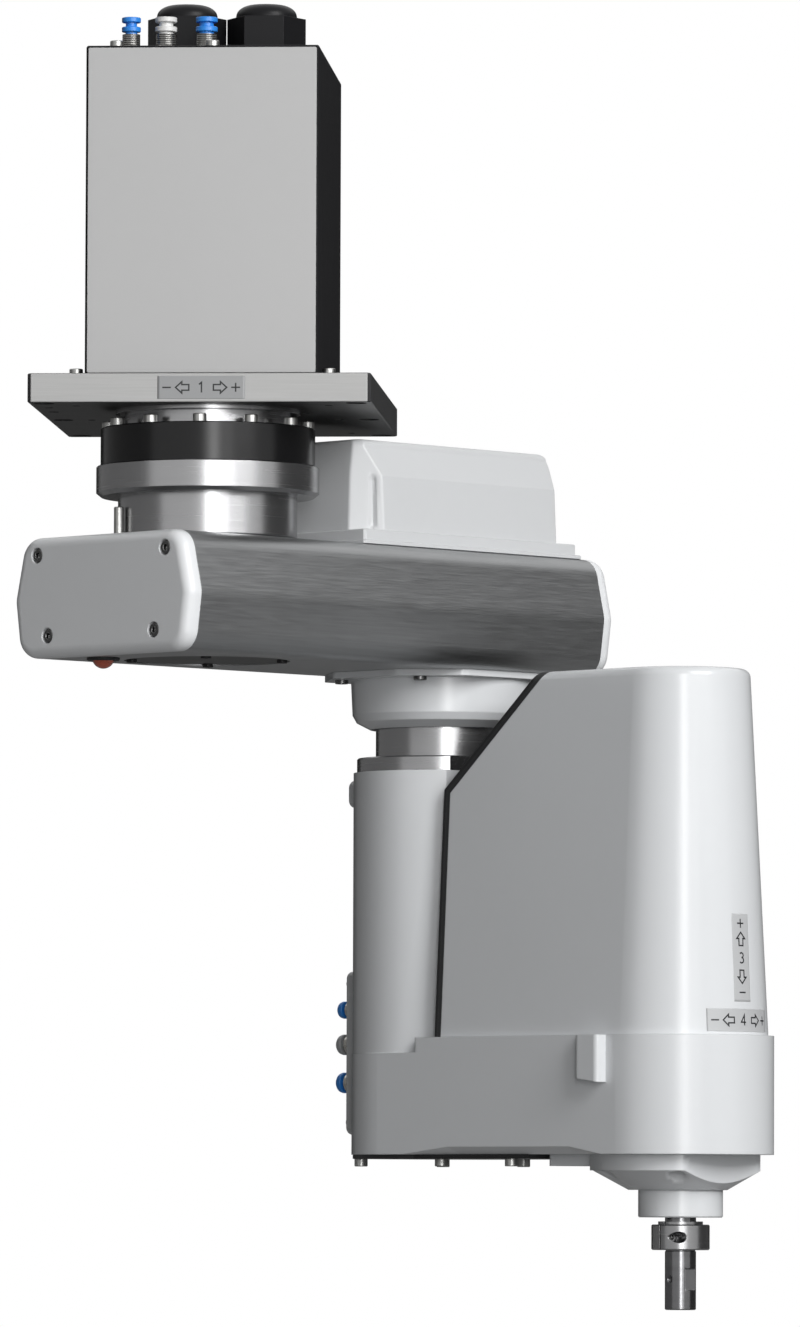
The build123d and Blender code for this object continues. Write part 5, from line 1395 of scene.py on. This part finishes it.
def make_rear_panel():
    """Raised cover of the rear panel and its four screws, in place of the CAD ones.

    A screw head is a low dome, turned from an outline in millimetres, with a round recess in
    its middle.
    """
    low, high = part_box("rear_panel")
    panel = rounded_block("rear_cover", REAR_WIDE, low.z, high.z, REAR_BACK, REAR_FACE, 1.8 * MM)
    dressed(panel, finish_for("rear_panel", "cap_grey"), "arm2")
    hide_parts("rear_panel")
    outline = np.array([
        (0.9, -0.6), (2.9, -0.6), (2.9, 0.5), (2.6, 1.2), (2.0, 1.7),
        (1.5, 1.9), (1.25, 1.8), (1.25, 0.6), (0.9, 0.5),
    ]) * MM
    for number, (across, up) in enumerate(((-1, 0), (1, 0), (-1, 1), (1, 1)), 1):
        centre = J2 - ARM2_DIR * REAR_FACE + ARM2_ACROSS * across * 12.5 * MM
        centre[2] = high.z - 6.5 * MM if up else low.z + 6.6 * MM
        screw = lathed("rear_screw_%d" % number, outline, centre, -ARM2_DIR, sides=40)
        dressed(screw, finish_for("rear_panel_screws", "screw_steel"), "arm2")
        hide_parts("rear_panel_screws")


def make_rear_boss():
    """Cast boss high on arm 2's rear, above the panel."""
    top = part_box("arm2_casting")[1].z
    ends = (top - BOSS_LOW, top - BOSS_HIGH)
    boss = rounded_block("rear_boss", BOSS_WIDE, *ends, BOSS_BACK, BOSS_FACE, 1.6 * MM)
    dressed(boss, finish_for("arm2_casting", "arm_white"), "arm2")


def make_seals():
    """Rubber rings in the mouths of the glands, and the bezel round the lamp."""
    detail = detail_settings()
    low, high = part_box("gland_nuts")
    for number, x in enumerate(GLAND_X, 1):
        outline = [(6.0, -6.0), (9.4, -6.0), (9.4, -1.2), (8.6, -0.5), (7.0, -0.5), (6.0, -1.6)]
        outline = np.array(outline) * MM
        outline[:, 1] += high.z
        ring = turned("gland_seal_%d" % number, outline, (x, GLAND_Y))
        dressed(ring, seal_rubber(), "base")
    low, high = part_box("lamp_lens")
    middle = (low + high) / 2
    inner = (high.x - low.x) / 2 + 0.03 * MM
    outer = inner + detail.bezel_width
    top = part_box("arm1_extrusion")[0].z
    outline = np.array([
        (inner, top),
        (inner, top - 1.2 * MM),
        (inner + 0.5 * MM, top - 1.6 * MM),
        (outer - 0.6 * MM, top - 1.6 * MM),
        (outer, top - 1.0 * MM),
        (outer, top),
    ])
    bezel = turned("lamp_bezel", outline, middle)
    dressed(bezel, seal_rubber(), "arm1")


def make_labels():
    """The three direction labels: one on the mounting plate and two on the cover's nose."""
    detail = detail_settings()
    length = detail.label_length
    height = detail.label_height
    label("swing_label", plate_face, length, height, 1, False, "base", PLATE_LABEL_PAINTED_SHADE)
    label("turn_label", nose_face(TURN_LABEL_Z), length, height, 4, False, "arm2", NOSE_LABEL_SHADE)
    label("lift_label", nose_face(LIFT_LABEL_Z), height, length, 3, True, "arm2", NOSE_LABEL_SHADE)


def dress_nodes():
    """Gives every CAD node its procedural finish."""
    for name, node in NODES.items():
        slot = node.data.materials[0].name.split(".")[0]
        node.material_slots[0].material = finish_for(name, slot)


# stage
# lamps: the point they face, their distance from it, and the azimuth, elevation and size of each
LAMP_TARGET = Vector((0.1, -0.03, -0.2))
LAMP_DISTANCE = 3.0
LAMPS = (
    ("key", 40, 27, (1.5, 1.5)),
    ("front", 14, -2, (1.6, 2.0)),
    ("strip", 9, -2, (0.5, 2.2)),
    ("back", 180, 35, (2.6, 2.0)),
)

# cards seen in reflections: shade, place, and the ends of their run and of their rise
CARDS = (
    ("left card", 0.35, -1.3, -0.9, 1.8, -0.6, 0.8),
    ("right card", 0.28, 1.3, -0.3, 1.8, -0.6, 0.8),
    ("back card", 0.012, 2.2, -1.9, 1.9, -0.6, 1.2),
)

# floor: where its fade to white starts, how far it takes, its glow near the object and in
# reflections, and its tone to the eye and to the rays that light the object
FADE_START = 0.9
FADE_LENGTH = 1.5
FLOOR_GLOW = 0.5
MIRRORED_GLOW = 0.06
FLOOR_TONE = (0.46, 0.46, 0.46, 1)
UNSEEN_TONE = (0.20, 0.20, 0.20, 1)


def softbox(name, azimuth, elevation, size, power):
    """Rectangular lamp at an azimuth from -Y towards +X and an elevation, facing the robot."""
    azimuth = math.radians(azimuth)
    elevation = math.radians(elevation)
    lamp = bpy.data.lights.new(name, "AREA")
    lamp.shape = "RECTANGLE"
    lamp.size, lamp.size_y = size
    lamp.energy = power
    holder = bpy.data.objects.new(name, lamp)
    bpy.context.scene.collection.objects.link(holder)
    away = Vector((
        math.sin(azimuth) * math.cos(elevation),
        -math.cos(azimuth) * math.cos(elevation),
        math.sin(elevation),
    ))
    holder.location = LAMP_TARGET + away * LAMP_DISTANCE
    holder.rotation_euler = away.to_track_quat("Z", "Y").to_euler()
    holder.visible_camera = False
    return holder


def ray_is_seen(tree):
    """One for camera, glossy and transmission rays, and zero for the others."""
    path = tree.nodes.new("ShaderNodeLightPath")
    seen = math_node(tree, "MAXIMUM", path.outputs["Is Camera Ray"], path.outputs["Is Glossy Ray"])
    return math_node(tree, "MAXIMUM", seen, path.outputs["Is Transmission Ray"])


def make_room():
    """World: white to the eye and in reflections, and a low even light otherwise."""
    settings = stage_settings()
    world = bpy.data.worlds.new("studio")
    bpy.context.scene.world = world
    world.use_nodes = True
    tree = world.node_tree
    background = tree.nodes["Background"]
    background.inputs["Color"].default_value = (1, 1, 1, 1)
    low = math_node(tree, "MULTIPLY", math_node(tree, "SUBTRACT", 1.0, ray_is_seen(tree)), settings.sky)
    tree.links.new(math_node(tree, "ADD", low, ray_is_seen(tree)), background.inputs["Strength"])


def make_floor():
    """Pale floor well below the quill, which keeps the object's shadow and is clear from below.

    It fades to the white of the world with distance from the middle, and is dim in reflections.
    """
    settings = stage_settings()
    half = settings.floor_half
    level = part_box("quill")[0].z - settings.floor_drop
    grid = np.linspace(-half, half, 9)
    across, along = np.meshgrid(grid, grid, indexing="xy")
    floor = surface("floor", np.stack([across, along, np.full_like(across, level)], axis=-1))
    finish, tree, shader = new_finish("studio floor")
    tone = placed(tree, tone_effect(), Colour=FLOOR_TONE, Spread=0.01, Scale=1.2)
    path = tree.nodes.new("ShaderNodeLightPath")
    seen = math_node(tree, "MAXIMUM", path.outputs["Is Camera Ray"], path.outputs["Is Transmission Ray"])
    reach = vector_node(tree, "LENGTH", object_point(tree)).outputs["Value"]
    far = math_node(tree, "SUBTRACT", reach, FADE_START)
    far = math_node(tree, "MULTIPLY", far, 1 / FADE_LENGTH, clamp=True)
    near_tone = colour_mix(tree, far, tone.outputs["Colour"], (0, 0, 0, 1))
    tree.links.new(colour_mix(tree, seen, UNSEEN_TONE, near_tone), shader.inputs["Base Color"])
    shader.inputs["Emission Color"].default_value = (1, 1, 1, 1)
    glow = varied(tree, far, (1 + FLOOR_GLOW) / 2, 1 - FLOOR_GLOW)
    mirrored = math_node(tree, "MULTIPLY", path.outputs["Is Glossy Ray"], MIRRORED_GLOW)
    lit = math_node(tree, "ADD", math_node(tree, "MULTIPLY", seen, glow), mirrored)
    tree.links.new(lit, shader.inputs["Emission Strength"])
    geometry = tree.nodes.new("ShaderNodeNewGeometry")
    above = math_node(tree, "SUBTRACT", 1.0, geometry.outputs["Backfacing"])
    tree.links.new(above, shader.inputs["Alpha"])
    shader.inputs["Roughness"].default_value = 0.9
    shader.inputs["Specular IOR Level"].default_value = 0.1
    floor.data.materials.append(finish)


def make_card(name, shade, place, near, far, low, high, back=False):
    """Upright card beside or behind the object, seen only in its reflections."""
    rise = np.linspace(low, high, 5)
    run = np.linspace(near, far, 5)
    grid_rise, grid_run = np.meshgrid(rise, run, indexing="ij")
    flat = np.full_like(grid_run, place)
    level = [grid_run, flat] if back else [flat, grid_run]
    card = surface(name, np.stack([*level, grid_rise], axis=-1))
    finish, tree, shader = new_finish(name)
    tone = placed(tree, tone_effect(), Colour=rgba((shade, shade, shade)), Spread=0.05, Scale=2.0)
    tree.links.new(tone.outputs["Colour"], shader.inputs["Base Color"])
    shader.inputs["Roughness"].default_value = 0.95
    card.data.materials.append(finish)
    card.visible_camera = False
    card.visible_diffuse = False
    card.visible_shadow = False


def make_camera():
    """Long lens in front of the robot and a little below it, looking slightly up."""
    settings = stage_settings()
    lens = bpy.data.cameras.new("camera")
    lens.sensor_fit = "AUTO"
    lens.sensor_width = 36
    lens.lens = settings.lens
    lens.clip_end = 100
    camera = bpy.data.objects.new("camera", lens)
    bpy.context.scene.collection.objects.link(camera)
    pitch = Matrix.Rotation(math.pi / 2 + settings.camera_pitch, 4, "X")
    yaw = Matrix.Rotation(settings.camera_yaw, 4, "Y")
    camera.matrix_world = Matrix.Translation(settings.camera_place) @ pitch @ yaw
    bpy.context.scene.camera = camera


def make_stage():
    """Camera, floor, lamps and room."""
    settings = stage_settings()
    make_camera()
    make_room()
    make_floor()
    for name, azimuth, elevation, size in LAMPS:
        lamp = softbox(name, azimuth, elevation, size, getattr(settings, name + "_power"))
        lamp.visible_glossy = name != "back"
    for name, *layout in CARDS:
        make_card(name, *layout, back=name == "back card")
    bpy.context.scene.view_settings.view_transform = "Standard"


class ROBOT_OT_stage(bpy.types.Operator):
    """Sets up the camera, the floor, the lamps and the room."""

    bl_idname = "robot.stage"
    bl_label = "Stage"

    def execute(self, context):
        """Makes the stage."""
        make_stage()
        return {"FINISHED"}


class ROBOT_OT_finishes(bpy.types.Operator):
    """Gives every CAD part its finish."""

    bl_idname = "robot.finishes"
    bl_label = "Finishes"

    def execute(self, context):
        """Assigns the finishes."""
        dress_nodes()
        return {"FINISHED"}


class ROBOT_OT_quill(bpy.types.Operator):
    """Makes the quill with its ball tracks."""

    bl_idname = "robot.quill"
    bl_label = "Quill"

    def execute(self, context):
        """Makes the quill."""
        make_quill()
        return {"FINISHED"}


class ROBOT_OT_motor_cover(bpy.types.Operator):
    """Makes the cover of the second joint's motor."""

    bl_idname = "robot.motor_cover"
    bl_label = "Motor cover"

    def execute(self, context):
        """Makes the cover."""
        make_motor_cover()
        return {"FINISHED"}


class ROBOT_OT_nut_housing(bpy.types.Operator):
    """Makes the housing under arm 2's front."""

    bl_idname = "robot.nut_housing"
    bl_label = "Nut housing"

    def execute(self, context):
        """Makes the housing."""
        make_nut_housing()
        return {"FINISHED"}


class ROBOT_OT_rear(bpy.types.Operator):
    """Makes the panel, the fittings and the boss on arm 2's rear."""

    bl_idname = "robot.rear"
    bl_label = "Rear fittings and boss"

    def execute(self, context):
        """Makes the rear pieces."""
        make_rear_panel()
        make_rear_fittings()
        make_rear_boss()
        return {"FINISHED"}


class ROBOT_OT_seals(bpy.types.Operator):
    """Makes the gland seals and the lamp's bezel."""

    bl_idname = "robot.seals"
    bl_label = "Seals and bezel"

    def execute(self, context):
        """Makes the rings."""
        make_seals()
        return {"FINISHED"}


class ROBOT_OT_labels(bpy.types.Operator):
    """Makes the direction labels and their marks."""

    bl_idname = "robot.labels"
    bl_label = "Direction labels"

    def execute(self, context):
        """Makes the labels."""
        make_labels()
        return {"FINISHED"}


class ROBOT_PT_panel(bpy.types.Panel):
    """Steps of the robot's looks, in order."""

    bl_idname = "ROBOT_PT_panel"
    bl_label = "SCARA robot"
    bl_space_type = "VIEW_3D"
    bl_region_type = "UI"
    bl_category = "Robot"

    def draw(self, context):
        """Lists the settings and the steps."""
        layout = self.layout
        for group in (stage_settings(), finish_settings(), detail_settings()):
            column = layout.column()
            for key in group.__annotations__:
                column.prop(group, key)
        for step in STEPS:
            layout.operator(step.bl_idname)


STEPS = (
    ROBOT_OT_stage,
    ROBOT_OT_finishes,
    ROBOT_OT_motor_cover,
    ROBOT_OT_nut_housing,
    ROBOT_OT_rear,
    ROBOT_OT_quill,
    ROBOT_OT_seals,
    ROBOT_OT_labels,
)
SETTINGS = {
    "robot_stage": RobotStageSettings,
    "robot_finish": RobotFinishSettings,
    "robot_detail": RobotDetailSettings,
}


def register():
    """Registers the settings, the steps and the panel."""
    for key, group in SETTINGS.items():
        bpy.utils.register_class(group)
        setattr(bpy.types.Scene, key, PointerProperty(type=group))
    for step in STEPS:
        bpy.utils.register_class(step)
    bpy.utils.register_class(ROBOT_PT_panel)


def unregister():
    """Takes back what register did."""
    bpy.utils.unregister_class(ROBOT_PT_panel)
    for step in reversed(STEPS):
        bpy.utils.unregister_class(step)
    for key, group in SETTINGS.items():
        delattr(bpy.types.Scene, key)
        bpy.utils.unregister_class(group)


def main():
    """Runs every step in order."""
    register()
    bpy.ops.robot.stage()
    bpy.ops.robot.finishes()
    bpy.ops.robot.motor_cover()
    bpy.ops.robot.nut_housing()
    bpy.ops.robot.rear()
    bpy.ops.robot.quill()
    bpy.ops.robot.seals()
    bpy.ops.robot.labels()


if __name__ == "__main__":
    main()
